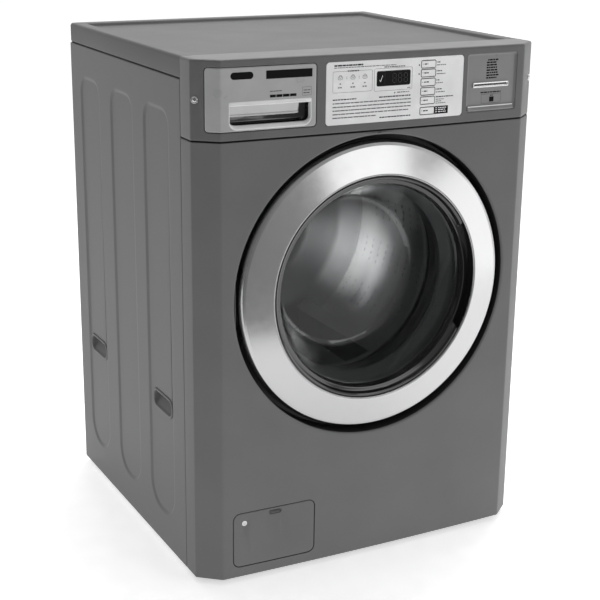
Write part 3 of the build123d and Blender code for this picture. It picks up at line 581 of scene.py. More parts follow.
def lid():
    """Lid with a raised lip along the sides and the back, and a sunk top."""
    bm = bmesh.new()
    z0 = lid_low.z
    front, back = lid_low.y, lid_high.y
    section = [(14, 0.3), (2.4, 0.3), (0.9, 0.9), (0.2, 2.2), (0, 3.8), (0, 30.5), (0.5, 33), (1.8, 35.2),
               (3.8, 36.4), (6, 36.8), (8, 36.8), (22, 36.8), (24, 36.8), (25.8, 36.3), (27.4, 34.8),
               (28.6, 31.6), (29.6, 30.3), (31, 29.85), (33, 29.8)]

    def u_path(inset):
        r = max(9 * MM - inset, 5 * MM)
        x, y = HALF_W - inset, back - inset
        pts = [(-x, front), (-x, front + 40 * MM)]
        for cx, start in ((-x + r, 180), (x - r, 90)):
            for k in range(9):
                t = math.radians(start - 90 * k / 8)
                pts.append((cx + r * math.cos(t), y - r + r * math.sin(t)))
        return pts + [(x, front + 40 * MM), (x, front)]
    loops = [loop(bm, [(x, y, z0 + h * MM) for x, y in u_path(i * MM)]) for i, h in section]
    bridges(bm, loops, closed=False)
    floor = loops[-1]
    bm.faces.new(floor)
    apron = loop(bm, [floor[0].co + Vector((0, 0, -9 * MM)), floor[-1].co + Vector((0, 0, -9 * MM))])
    bm.faces.new((floor[0], floor[-1], apron[1], apron[0]))
    for side, ends in ((-1, [l[0] for l in loops]), (1, [l[-1] for l in loops])):
        foot = bm.verts.new((side * (HALF_W - 14 * MM), front, z0 + 30.5 * MM))
        bm.faces.new(ends[4:] + [foot])
    # Black sheets in the seams between the lid and the side panels: painted shade for the dark gaps
    gap_shade = bmesh.new()
    for side in (-1, 1):
        x = side * (HALF_W - 1.1 * MM)
        low, high = side_high.z - 1.6 * MM, z0 + 1.4 * MM
        near, far = front + 2 * MM, back - 10 * MM
        corners = [(x, near, low), (x, far, low), (x, far, high), (x, near, high)]
        gap_shade.faces.new(loop(gap_shade, corners))
    make(gap_shade, "side_gap_shade", INK_AND_SHADE, "cabinet")
    return make(bm, "lid", LID, "cabinet", ["top_panel"], crease=40)


DOOR_EDGE_R = 279 * MM
RECESS_OPENING = 132 * MM


def side_returns(bm, low, high):
    """Turned edges where the front meets the side panels."""
    for side in (-1, 1):
        edge = [on_front(side * S_END, low), on_front(side * S_END, high)]
        a, b = loop(bm, edge), loop(bm, [p + Vector((-side * 12 * MM, 0, 0)) for p in edge])
        bridge(bm, a, b, closed=False)


def axis_circle(r):
    """Circle about the door's axis; millimetres."""
    return circle(0, AXIS_Z, r * MM, SEGMENTS)


def front_skin():
    """Bowed front with soft top edge, a rolled recess edge, the recess wall, floor and mouth lip; the recess
    and the seams are painted black as shade.
    """
    bm = bmesh.new()
    z0, z1 = panel_low.z, panel_high.z
    roll = [(3.6, 0), (2.4, 0), (1.7, 0.25), (1.4, 0.9), (1.3, 2.4), (0.6, 4.2), (0, 6), (0, 16)]
    rolled(bm, z1, -1, roll)
    rolled(bm, z0, 1, roll)
    low, high = z0 + roll[0][0] * MM, z1 - roll[0][0] * MM
    edge = [(284.5, 0), (283, 0), (281.6, 0.25), (280.3, 0.9), (279.4, 2), (279, 3.6)]
    rings = []
    for r, d in edge:
        rings.append(loop(bm, [on_front(u, v, d * MM) for u, v in axis_circle(r)]))
    inner = [(279, 34), (278.4, 37.6), (276.4, 39.6), (273, 40), (240, 40), (212, 40),
             (207.5, 40.4), (205.4, 42), (204.8, 45), (204.8, 54), (203.4, 54), (203.4, 42)]
    for r, d in inner:
        rings.append(loop(bm, [(u, FRONT_Y + d * MM, v) for u, v in axis_circle(r)]))

    def pocket(i):
        t = 2 * math.pi * i / SEGMENTS
        return math.cos(t) < 0 and abs(math.sin(t)) * DOOR_EDGE_R < RECESS_OPENING / 2
    bridges(bm, rings[:6])
    # The recess wall, floor and mouth lip are near-black: painted shade for the deep recess round the door
    recess_shade = bmesh.new()
    deep = [loop(recess_shade, [vert.co.copy() for vert in ring]) for ring in rings[5:]]
    for k, (a, b) in enumerate(zip(deep, deep[1:])):
        bridge(recess_shade, a, b, skip=pocket if k <= 3 else None)
    make(recess_shade, "recess_painted_shade", DARK_AND_SHADE, "cabinet", crease=34)
    front_piece(bm, band(low, high), [axis_circle(edge[0][0]), flap_hole(FLAP_GAP + 1.5)])
    side_returns(bm, low, high)
    edge = ((1.5, 0), (0.6, 0), (0.15, 0.15), (0, 0.6), (0, 8))
    nested(bm, lambda g: flap_hole(FLAP_GAP + g), edge)
    # Black strips in the seams above and below the control panel and round the flap: painted shade for the
    # dark gaps
    gap_shade = bmesh.new()
    rows = [(PANEL_BOTTOM + 0.8 * MM, 0.9 * MM), (z1 - 1.9 * MM, 0.9 * MM)]
    a, b = [loop(gap_shade, [on_front(s, z, d) for s in S_CUTS]) for z, d in rows]
    bridge(gap_shade, a, b, closed=False)
    nested(gap_shade, flap_hole, ((FLAP_GAP + 0.3, 1), (0.2, 1)))
    make(gap_shade, "front_gap_shade", INK_AND_SHADE, "cabinet")
    return make(bm, "front_skin", BODY, "cabinet", ["front_panel"], crease=34)


FLAP_X = (-282.3 * MM, -119 * MM)
FLAP_Z = (flap_low.z, flap_high.z)
FLAP_GAP = 1.2


def flap_hole(grow):
    """Outline of the service flap grown by some millimetres."""
    return rounded_rect(*FLAP_X, *FLAP_Z, 13 * MM, grow * MM, cuts=S_CUTS)


def flap():
    """Service flap: a soft-edged plate with a coin notch, a small lock, and its hinge lugs behind."""
    bm = bmesh.new()
    steps = [(-9, 0), (-1.6, 0), (-0.9, 0.1), (-0.6, 0.4), (-0.5, 1), (-0.3, 1.3), (0, 1.6), (0, 2.5),
             (-2, 2.5)]
    nested(bm, flap_hole, steps)
    lock = (-260.7 * MM, 117.3 * MM)
    notch = (-211.5 * MM, -187.4 * MM, FLAP_Z[1] - 12.5 * MM, FLAP_Z[1] - 4.5 * MM)
    front_piece(bm, flap_hole(-9), [rect_at(notch, 3.5)(0.8), round_at(lock)(6)])
    nested(bm, round_at(lock), ((6, 0), (5.7, 0.2), (5.6, 1.2), (5.6, 4)))
    nested(bm, rect_at(notch, 3.5), ((0.8, 0), (0.2, 0.2), (0, 0.8), (-0.6, 2.1)), cap=True)
    front_piece(bm, flap_hole(-2), depth=2.5 * MM)
    skin = make(bm, "flap_plate", BODY, "flap", ["service_flap"], crease=34)
    bm = bmesh.new()
    disc = ((5.4, 5), (5.4, 0.5), (5.1, 0.1), (4.4, 0), (1.9, 0), (1.6, 0.4))
    nested(bm, round_at(lock), disc, cap=True)
    make(bm, "flap_lock", LOCK, "flap")
    bm = bmesh.new()
    tab = (notch[0] + 3.5 * MM, notch[1] - 3.5 * MM, FLAP_Z[1] - 4.2 * MM, FLAP_Z[1] - 1.2 * MM)
    nested(bm, rect_at(tab, 1), ((0, 2.4), (0, 7), (-0.5, 7.6)), cap=True)
    for x in (FLAP_X[0] + 16 * MM, FLAP_X[1] - 16 * MM):
        lug = (x - 9 * MM, x + 9 * MM, FLAP_Z[0] + 10.8 * MM, FLAP_Z[0] + 15.2 * MM)
        nested(bm, rect_at(lug, 1), ((0, 2.4), (0, 5), (-0.6, 5.6)), cap=True)
    make(bm, "flap_lugs", DARK_AND_SHADE, "flap")
    return skin


# --- Control panel ---

PANEL_TOP = housing_high.z
PANEL_BOTTOM = housing_low.z
DRAWER_S = (s_at_x(-324.1 * MM), -127.5 * MM)
DRAWER_Z = (drawer_low.z, drawer_high.z)
OVERLAY_BOX = (overlay_low.x, overlay_high.x, overlay_low.z, overlay_high.z)
PAY_BOX = (179 * MM, 288 * MM, PANEL_BOTTOM + 17.2 * MM, PANEL_BOTTOM + 120.7 * MM)
LOCK_S = s_at_x(337 * MM)
plug_low, plug_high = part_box("lock_plug_left")
LOCK_Z = (plug_low.z + plug_high.z) / 2


def housing():
    """Control panel moulding: a flat top, a bright soft front edge and openings for what it holds."""
    bm = bmesh.new()
    top_roll = [(6.5, 0), (4.6, 0), (3.6, 0.15), (2.2, 0.7), (1, 1.7), (0.3, 3), (0, 4.6), (0, 8)]
    low_roll = [(4, 0), (2.2, 0), (1, 0.35), (0.3, 1.1), (0, 2.4), (0, 16)]
    top = rolled(bm, PANEL_TOP, -1, top_roll)[-1]
    inside = HALF_W - 9 * MM
    back = [(min(max(v.co.x, -inside), inside), SEAM_Y - 0.8 * MM, PANEL_TOP) for v in top]
    rows = [top, loop(bm, back), loop(bm, [(x, y, z - 6 * MM) for x, y, z in back])]
    bridges(bm, rows, closed=False)
    rolled(bm, PANEL_BOTTOM, 1, low_roll)
    low, high = PANEL_BOTTOM + low_roll[0][0] * MM, PANEL_TOP - top_roll[0][0] * MM
    side_returns(bm, low, high)
    lip = ((1.6, 0), (1, 0), (0.4, 0.3), (0, 1), (0, 9))
    features = [((*DRAWER_S, *DRAWER_Z), 6, lip, 1),
                (OVERLAY_BOX, 2.5, ((1.2, 0), (0.7, 0), (0.2, 0.3), (0, 1.2)), 0),
                (PAY_BOX, 5, ((1.8, 0), (1.2, 0), (0.4, 0.4), (0, 1.2), (0, 6)), 0)]
    holes = []
    for box, r, steps, gap in features:
        holes.append(rim(bm, box, r, steps, gap))
    for side in (-1, 1):
        bore = round_at((side * LOCK_S, LOCK_Z))
        nested(bm, bore, ((7.6, 0), (7, 0.2), (6.7, 0.9), (6.7, 6)))
        holes.append(bore(7.6))
    front_piece(bm, band(low, high), holes)
    return make(bm, "panel_moulding", PANEL, "cabinet", ["control_housing"], crease=34)


# --- Detergent drawer ---

PULL_U = (s_at_x(-287.5 * MM), s_at_x(-137 * MM))
PULL_V = (838 * MM, 883.5 * MM)
CAVITY_D = 20.5


def pull_outline(grow, lift=0):
    """Outline of the pull; lift raises its bottom edge and lower corners."""
    reach = 14 * MM
    pts = rounded_rect(*PULL_U, *PULL_V, (reach, 2 * MM), grow * MM, cuts=S_CUTS)
    return [(u, v + lift * MM * min(max(1 - (v - PULL_V[0]) / reach, 0), 1)) for u, v in pts]


def drawer():
    """Drawer face that wraps the chamfer, with a lip and rim painted near-white as highlights, a rounded brow
    in a lighter plastic that is partly painted highlight, and a finger cavity painted near-black as shade.
    """
    bm = bmesh.new()
    edge = [(-3.5, 0), (-2.4, 0), (-1.2, 0.15), (-0.4, 0.6), (0, 1.5), (0, 13)]
    face = rim(bm, (*DRAWER_S, *DRAWER_Z), 6, edge)
    front_piece(bm, face, [pull_outline(0.8)])
    make(bm, "drawer_face", DRAWER, "drawer", ["drawer_front"], crease=34)
    # The rim round the pull is near-white: painted highlight
    bm = bmesh.new()
    lip = [(0.8, 0, 0), (0.5, 0, -0.25), (0, 0, -0.45), (-0.6, 0.6, -0.4), (-1, 1.6, 0.1), (-1.4, 3, 1.2),
           (-1.8, 4.2, 2.6), (-2.2, 4.8, 4), (-2.4, 5, 6.4)]
    front_ring(bm, [(pull_outline(g, lift), d * MM) for g, lift, d in lip])
    make(bm, "pull_rim", PAINTED_HIGHLIGHT, "drawer", crease=60)
    # Near-black sheet deep in the finger cavity: painted shade for the dark cavity
    bm = bmesh.new()
    deep = ((-2.3, 5, 6), (-2.3, 5, 19), (-6, 6, 21.5))
    loops = front_ring(bm, [(pull_outline(g, lift), d * MM) for g, lift, d in deep])
    bm.faces.new(loops[-1])
    make(bm, "drawer_cavity_shade", GLOSS_BLACK, "drawer")
    rows = [(880, 1.6), (878.6, 3.6), (877, 4.2), (868, 6.6), (861.5, 8.4), (859.6, 9.2), (858.6, 10.6),
            (858.2, 12.4), (858.2, 20)]
    right = -155
    cols = [(u, 0) for u in S_CUTS if PULL_U[0] + 1.4 * MM < u < (right - 10) * MM]
    cols = [(PULL_U[0] + 1 * MM, 0)] + cols
    cols += [((right - 7 + 7 * math.sin(math.radians(15 * k))) * MM, 7 * (1 - math.cos(math.radians(15 * k))))
             for k in range(7)]
    cols.append((right * MM, 16))
    # Brow and bead in the lighter pull plastic: partly painted highlight
    swept("pull_brow", PULL_AND_HIGHLIGHT, "drawer", cols, rows, CAVITY_D, crease=50)
    bead = [(862, 8), (861.6, 7.3), (860.6, 7), (859.4, 7.2), (858.4, 8), (857.9, 9.4), (858, 11)]
    swept("pull_bead", PULL_AND_HIGHLIGHT, "drawer", cols[:-1], bead, CAVITY_D)
    # Bar along the top of the pull, near-white: painted highlight
    u0, u1 = PULL_U[0] - 0.4 * MM, PULL_U[1] + 0.4 * MM
    bar = [(876.6, 3.4), (876.9, 0.9), (877.6, 0.2), (878.8, -0.3), (880.6, -0.5), (882.4, -0.3),
           (883.4, 0.1), (883.9, 0.6)]
    ends = [u for u in S_CUTS if u0 + 2 * MM < u < u1 - 2 * MM]
    cols = [(u0, 0.9)] + [(u, 0) for u in (u0 + 1 * MM, *ends, u1 - 1 * MM)] + [(u1, 0.9)]
    swept("pull_lip", PAINTED_HIGHLIGHT, "drawer", cols, bar, CAVITY_D)


# --- Printed sheet, display, keys ---

INK_UP = -0.06 * MM
SHEET_D = 0.15 * MM


def strip(bm, x0, x1, z0, z1, depth):
    """Flat printed bar that follows the front's bow; millimetres."""
    s0, s1 = s_at_x(x0 * MM), s_at_x(x1 * MM)
    us = [s0] + [s for s in S_CUTS if s0 + 1e-5 < s < s1 - 1e-5] + [s1]
    a = loop(bm, [on_front(u, z0 * MM, depth) for u in us])
    b = loop(bm, [on_front(u, z1 * MM, depth) for u in us])
    bridge(bm, a, b, closed=False)


def outline(bm, x0, x1, z0, z1, r, width, depth):
    """Printed line around a rounded box; millimetres."""
    shape = rect_at(s_box(x0 * MM, x1 * MM, z0 * MM, z1 * MM), r, S_CUTS)
    front_ring(bm, [(shape(g), depth) for g in (0, -width)])


def dot(bm, x, z, r, depth, flat=1):
    """Printed dot; flat stretches it upwards."""
    s = s_at_x(x * MM)
    pts = [on_front(s + u * r * MM, (z + v * r * flat) * MM, depth) for u, v in circle(0, 0, 1, 16)]
    bm.faces.new(loop(bm, pts))


def words(bm, x0, x1, z, height, depth, short=2, long=7):
    """A line of print as a row of small bars."""
    x = x0
    while x < x1 - 1:
        step = min(random.uniform(short, long), x1 - x)
        strip(bm, x, x + step, z - height / 2, z + height / 2, depth)
        x += step + random.uniform(0.7, 1.2)


KEY_Z = []
for i in range(6):
    button_low, button_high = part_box(f"button_{i + 1}")
    KEY_Z.append((button_low.z + button_high.z) / 2 / MM)
KEY_X = (button_low.x + button_high.x) / 2 / MM
KEY_W = 28.5
KEY_H = 11.6
WINDOW_BOX = s_box(window_low.x, window_high.x, window_low.z, window_high.z)
WINDOW_R = 3.5


def key_outline(z, grow):
    """Outline of the key at height z; millimetres."""
    s = s_at_x(KEY_X * MM)
    box = (s - KEY_W / 2 * MM, s + KEY_W / 2 * MM, (z - KEY_H / 2) * MM, (z + KEY_H / 2) * MM)
    return rect_at(box, 1.6, S_CUTS)(grow)


def overlay():
    """White printed sheet with cut-outs for the window and the keys, and its print."""
    bm = bmesh.new()
    outer = rect_at(s_box(*OVERLAY_BOX), 6, S_CUTS)(0)
    win = rect_at(WINDOW_BOX, WINDOW_R, S_CUTS)(0)
    keys = [key_outline(z, 0.4) for z in KEY_Z]
    front_piece(bm, outer, [win, *keys], SHEET_D)
    front_ring(bm, [(outer, SHEET_D), (outer, 0.9 * MM)])
    for hole in (win, *keys):
        front_ring(bm, [(hole, SHEET_D), (hole, 1.4 * MM)])
    make(bm, "overlay_sheet", OVERLAY, "cabinet", ["control_overlay"])
    d = SHEET_D + INK_UP
    ink, pale = bmesh.new(), bmesh.new()
    words(ink, -94, -38, 934.6, 2.6, d, 3, 9)
    words(pale, -94, 28, 931, 1.3, d)
    outline(pale, -96.5, -19, 888.5, 925, 3, 0.5, d)
    words(pale, -68, -46, 924.8, 2.2, d - 0.02 * MM)
    for x in (-82, -57.5, -34):
        outline(pale, x - 4.6, x + 4.6, 910.5, 916.5, 2.6, 0.7, d)
        outline(pale, x - 2.6, x + 2.6, 913, 918.5, 1.8, 0.6, d)
        dot(ink, x, 903.6, 1.25, d)
        words(pale, x - 4.5, x + 4.5, 897.4, 2, d, 3, 5)
    for x in (-69.5, -45.5):
        strip(pale, x - 0.3, x + 0.3, 911, 916, d)
    outline(pale, -15.5, 61.5, 887, 926, 3, 0.5, d)
    words(pale, 4, 46, 928, 1.8, d)
    words(pale, 52, 58.5, 890, 1.6, d, 2, 3)
    dot(ink, 26.5, 882.6, 1.3, d)
    words(pale, 31, 56, 883, 1.6, d)
    words(ink, -96, -50, 876.8, 1.9, d, 3, 8)
    words(ink, -5, 60, 876.6, 2.2, d, 2, 6)
    for z, end in ((870.4, 60), (864.2, 60), (858, 60), (851.8, 55), (845.6, -10)):
        words(pale, -96, end, z, 1.8, d, 3, 11)
    words(ink, -3, 60, 841.2, 1.9, d, 2, 7)
    edge = KEY_X + KEY_W / 2
    for i, z in enumerate(KEY_Z):
        front_ring(ink, [(key_outline(z, g), d) for g in (0.3, 1.4)])
        if i < 2:
            dot(ink, KEY_X - KEY_W / 2 - 5.2, z - 0.8, 1.1, d, 1.6)
        if i < 4:
            dot(ink, edge + 3.6, z + 2.6, 0.9, d)
            words(ink, edge + 5.4, edge + 11 + 4 * (i % 2), z + 2.6, 1.7, d, 3, 6)
            words(pale, edge + 3, edge + 22 - 5 * (i == 2), z - 2.4, 1.5, d)
        if i == 4:
            words(ink, edge + 3, edge + 40, z + 5, 1.9, d, 2, 6)
            for step, end in ((0.6, 20), (-2.8, 17), (-6.2, 24)):
                words(pale, edge + 3, edge + end, z + step, 1.3, d)
    x0 = edge + 1
    z = KEY_Z[5]
    strip(ink, x0, x0 + 29, z - 6.9, z + 6.9, d)
    make(ink, "overlay_print", INK_AND_SHADE, "cabinet")
    make(pale, "overlay_small_print", PALE_INK, "cabinet")
    light = bmesh.new()
    up = d - 0.04 * MM
    for x, length in ((2.5, 3), (8, 17)):
        for step in (3.8, 0.4, -3.2):
            words(light, x0 + x, x0 + x + length, z + step, 1.5, up, 2, 7)
    make(light, "overlay_light_print", OVERLAY, "cabinet")


def display():
    """Black window with three unlit digits and a small lit tick."""
    bm = bmesh.new()
    steps = [(-1.6, 0.15), (-0.9, 0.15), (-0.35, 0.3), (-0.1, 0.7), (-0.1, 2.4)]
    front_piece(bm, rim(bm, WINDOW_BOX, WINDOW_R, steps), depth=SHEET_D)
    make(bm, "window", WINDOW, "cabinet", ["display_window"])
    bm = bmesh.new()
    mid = (window_low.z + window_high.z) / 2 / MM
    up = 0.1 * MM
    for x in (25, 36.5, 48):
        w, h, t = 3.4, 7.6, 1.3
        for z0 in (mid - h, mid, mid + h):
            strip(bm, x - w + 1, x + w - 1, z0 - t / 2, z0 + t / 2, up)
        for sx in (-w, w):
            for z0 in (mid - h / 2, mid + h / 2):
                strip(bm, x + sx - t / 2, x + sx + t / 2, z0 - h / 2 + 1, z0 + h / 2 - 1, up)
    strip(bm, 5.6, 6.1, mid - 9.5, mid + 9.5, up)
    make(bm, "digits", SEGMENT, "cabinet")
    bm = bmesh.new()
    for (xa, za), (xb, zb) in (((-4.6, mid - 2), (-2.8, mid - 5.5)), ((-2.8, mid - 5.5), (1.2, mid + 5.5))):
        pts = [on_front(s_at_x(x * MM), zz * MM, up) for x, zz in
               ((xa - 0.5, za), (xb - 0.5, zb), (xb + 0.5, zb), (xa + 0.5, za))]
        bm.faces.new(loop(bm, pts))
    make(bm, "tick", OVERLAY, "cabinet")


def key_caps():
    """Six film keys with a printed sign on each."""
    for i, z in enumerate(KEY_Z):
        bm = bmesh.new()
        steps = ((-1.6, -0.28), (-0.9, -0.28), (-0.3, -0.15), (0, 0.25), (0, 3))
        nested(bm, lambda g: key_outline(z, g), steps)
        front_piece(bm, key_outline(z, steps[0][0]), depth=steps[0][1] * MM)
        make(bm, f"key_cap_{i + 1}", KEY, f"key_{i + 1}", [f"button_{i + 1}"])
        ink = bmesh.new()
        up = -0.33 * MM
        left = KEY_X - KEY_W / 2
        dot(ink, left + 2.6, z + 0.6, 0.7, up)
        words(ink, left + 5.5, left + 13 + 1.5 * (i % 3), z + 0.4, 2, up, 3, 6)
        make(ink, f"key_sign_{i + 1}", INK_AND_SHADE, f"key_{i + 1}")


# --- Payment unit and locks ---

PLATE_D = 4.4


def payment():
    """Sunk plate with short printed lines, a bright slot bezel with its slot painted black as shade, and a
    sloped ledge below with a painted highlight along its top edge.
    """
    box = s_box(*PAY_BOX)
    base = box[2] / MM
    bm = bmesh.new()
    steps = [(-5.2, PLATE_D), (-4.2, PLATE_D), (-2.8, PLATE_D - 0.35), (-1.2, PLATE_D - 1.4),
             (-0.2, PLATE_D - 3), (0.4, PLATE_D - 3.3)]
    bezel = rect_at(s_box(bezel_low.x, bezel_high.x, bezel_low.z, bezel_high.z), 1.6, S_CUTS)
    front_piece(bm, rim(bm, box, 6, steps), [bezel(-1.5)], PLATE_D * MM)
    make(bm, "pay_plate_face", PLATE, "cabinet", ["card_reader_plate"])
    bm = bmesh.new()
    steps = [(0, 0.2), (-0.2, -1.6), (-0.9, -2.4), (-1.6, -2.5), (-2.6, -1.8), (-3.6, -0.3), (-3.9, 1),
             (-4.2, 6)]
    nested(bm, bezel, [(g, PLATE_D + d) for g, d in steps])
    make(bm, "slot_bezel", BRIGHT, "cabinet", ["card_slot_bezel"], crease=60)
    # Black face just inside the card slot: painted shade for the slot's inside
    bm = bmesh.new()
    front_piece(bm, bezel(-4.1), depth=(PLATE_D + 1.5) * MM)
    make(bm, "slot_shade", GLOSS_BLACK, "cabinet")
    ledge = ((0.6, 1.6), (1.2, 0.9), (2.2, 0.55), (3.6, 0.7), (8.2, 2.1), (9.6, 2.5), (10.4, 3.1),
             (10.8, PLATE_D + 0.2))
    left, right = box[0] + 1.5 * MM, box[1] - 1.5 * MM
    inside = [u for u in S_CUTS if left + 6 * MM < u < right - 6 * MM]
    cols = [(left, 3.2), (left + 0.8 * MM, 1.4), (left + 2.4 * MM, 0.3), (left + 4.5 * MM, 0)]
    cols += [(u, 0) for u in inside]
    cols += [(right - 4.5 * MM, 0), (right - 2.4 * MM, 0.3), (right - 0.8 * MM, 1.4), (right, 3.2)]
    swept("pay_ledge", LEDGE, "cabinet", cols, [(base + z, d) for z, d in ledge], PLATE_D + 0.2)
    ink = bmesh.new()
    d = (PLATE_D - 0.05) * MM
    for k, short_by in enumerate((3, 8, 6, 6, 5, 4, 1, 6)):
        left = 225.5 if k == 0 else 223
        words(ink, left, 252 - short_by, 928.5 - 4.6 * k, 2.7, d, 3, 8)
    words(ink, 212, 257, 870.5, 2.2, d, 3, 8)
    outline(ink, 214, 258, 850.5, 867.5, 1, 0.4, d)
    words(ink, 234, 240, 864.5, 1.9, d, 1.5, 3)
    strip(ink, 232, 242, 853, 862, d)
    make(ink, "pay_print", INK_AND_SHADE, "cabinet")
    # Near-white strip along the top of the ledge: painted highlight
    cols = [(u, 0) for u in (box[0] + 4.5 * MM, *inside, box[1] - 4.5 * MM)]
    rows = [(base + z, d) for z, d in ((8.2, 2), (8.8, 1.8), (9.6, 2), (10.2, 2.6))]
    swept("ledge_highlight", PAINTED_HIGHLIGHT, "cabinet", cols, rows, PLATE_D)


def lock_fronts():
    """Round lock barrels on the chamfers, with slotted plugs that turn."""
    for side, name in ((-1, "left"), (1, "right")):
        at = (side * LOCK_S, LOCK_Z)
        barrel = ((6.4, 6), (6.4, -0.1), (6.2, -0.45), (5.8, -0.6), (5.2, -0.6), (4.8, -0.4), (4.6, 0.2),
                  (4.6, 6))
        bm = bmesh.new()
        nested(bm, round_at(at), barrel)
        make(bm, f"lock_barrel_{name}", LOCK, "cabinet", ["panel_lock_barrels"] if side < 0 else (),
             crease=60)
        bm = bmesh.new()
        plug = ((4.5, 8), (4.5, 0), (4.2, -0.6), (3.4, -1.1), (2, -1.4), (0.7, -1.5))
        nested(bm, round_at(at), plug, cap=True)
        make(bm, f"lock_plug_face_{name}", LOCK, f"lock_{name}", [f"lock_plug_{name}"],
             crease=70)
        # Black slit on the plug face: painted shade for the keyway's hole
        bm = bmesh.new()
        slit = (at[0] - 0.6 * MM, at[0] + 0.6 * MM, at[1] - 2.6 * MM, at[1] + 2.6 * MM)
        bm.faces.new(loop(bm, [on_front(u, v, -1.54 * MM) for u, v in rect_at(slit, 0.4)(0)]))
        make(bm, f"keyway_{name}", GLOSS_BLACK, f"lock_{name}")


# --- Door, gasket and drum ---

POCKET_HALF = math.radians(28)
POCKET_RAMP = math.radians(3)
POCKET_R = (193.2 * MM, 206 * MM)
POCKET_Y = -319.2 * MM


def pocket_share(t):
    """1 inside the finger pocket's sector, 0 outside it, with a short ramp between."""
    away = abs(math.atan2(math.sin(t), math.cos(t)))
    return smooth(min(max((POCKET_HALF - away) / POCKET_RAMP + 0.5, 0), 1))


def door():
    """Chrome ring, black inner frame with the finger pocket, glass bowl and the gasket behind them."""
    ring = [(269.2, -311.2), (269.4, -318), (268.4, -322.6), (264, -328.8), (259, -330.6), (210.4, -341.9),
            (207.6, -341.7), (206.6, -339.4), (206.6, -334.2), (208.2, -334.2), (208.4, -338.2),
            (211.4, -340), (258, -328.9), (262, -325.6), (267, -318), (267.2, -312)]
    radii = [2, 2, 2.4, 2.4, 2, 1.2, 1, 0, 0, 0, 0, 0, 0, 0]
    lathe("bezel_ring", soften(ring, radii, 5), CHROME, "door", ["door_ring"], 50)
    inner = [(206.2, -316.2), (206.2, -337.4), (205.4, -338.7), (203, -338.9), (200.8, -337.8),
             (199.4, -334.4), (197.6, -331.6), (193.4, -330.2), (193, -330.1), (191.2, -329.4), (190, -327),
             (188.4, -321), (187.3, -318.6), (187.6, -318.3), (204.3, -318.3), (204.3, -308.2),
             (262.8, -308.2), (262.8, -311), (256, -313.8)]

    def carve(r, y, t):
        if POCKET_R[0] < r < POCKET_R[1] and y < POCKET_Y + 0.3 * MM:
            y = y + (POCKET_Y - y) * pocket_share(t)
        return r, y
    lathe("door_inner_frame", inner, GLOSS_BLACK, "door", ["door_frame"], 30, change=carve)
    bowl = [(204, -317.9), (204, -312.7), (191, -312.5), (187.5, -308), (153, -219.5), (149, -212.5),
            (139, -207.9), (60, -203.6), (0.4, -203), (0.4, -208), (60, -208.5), (137, -212.4),
            (144, -215.5), (148, -221), (183, -312), (186, -317.9)]
    radii = [0, 0, 3, 6, 6, 3, 4, 0, 0, 4, 3, 6, 4, 3]
    lathe("glass_bowl", soften(bowl, radii, 5), GLASS, "door", ["door_glass"], 60)
    fold = [(203.3, -291), (203.3, -249), (200, -246), (201.5, -241), (196.9, -236), (196.9, -216.2),
            (190.2, -216.2), (190.2, -236.5), (193, -241), (190.4, -246.5), (198, -253), (198, -279),
            (194, -282), (177, -271.6), (175.6, -274.6), (190, -286.5), (198, -291)]
    radii = [3, 1.5, 2, 1.5, 0, 0, 2, 2, 2, 3, 2, 4, 1, 1, 4]
    seal = lathe("gasket", soften(fold, radii, 4), GASKET, None, ["door_gasket"], 50)
    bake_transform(seal)


HOLES_AROUND = 119
HOLE_ROWS = 26
HOLE_SIZE = (0.26, 0.20)
HOLE_DEPTH = 1.4 * MM


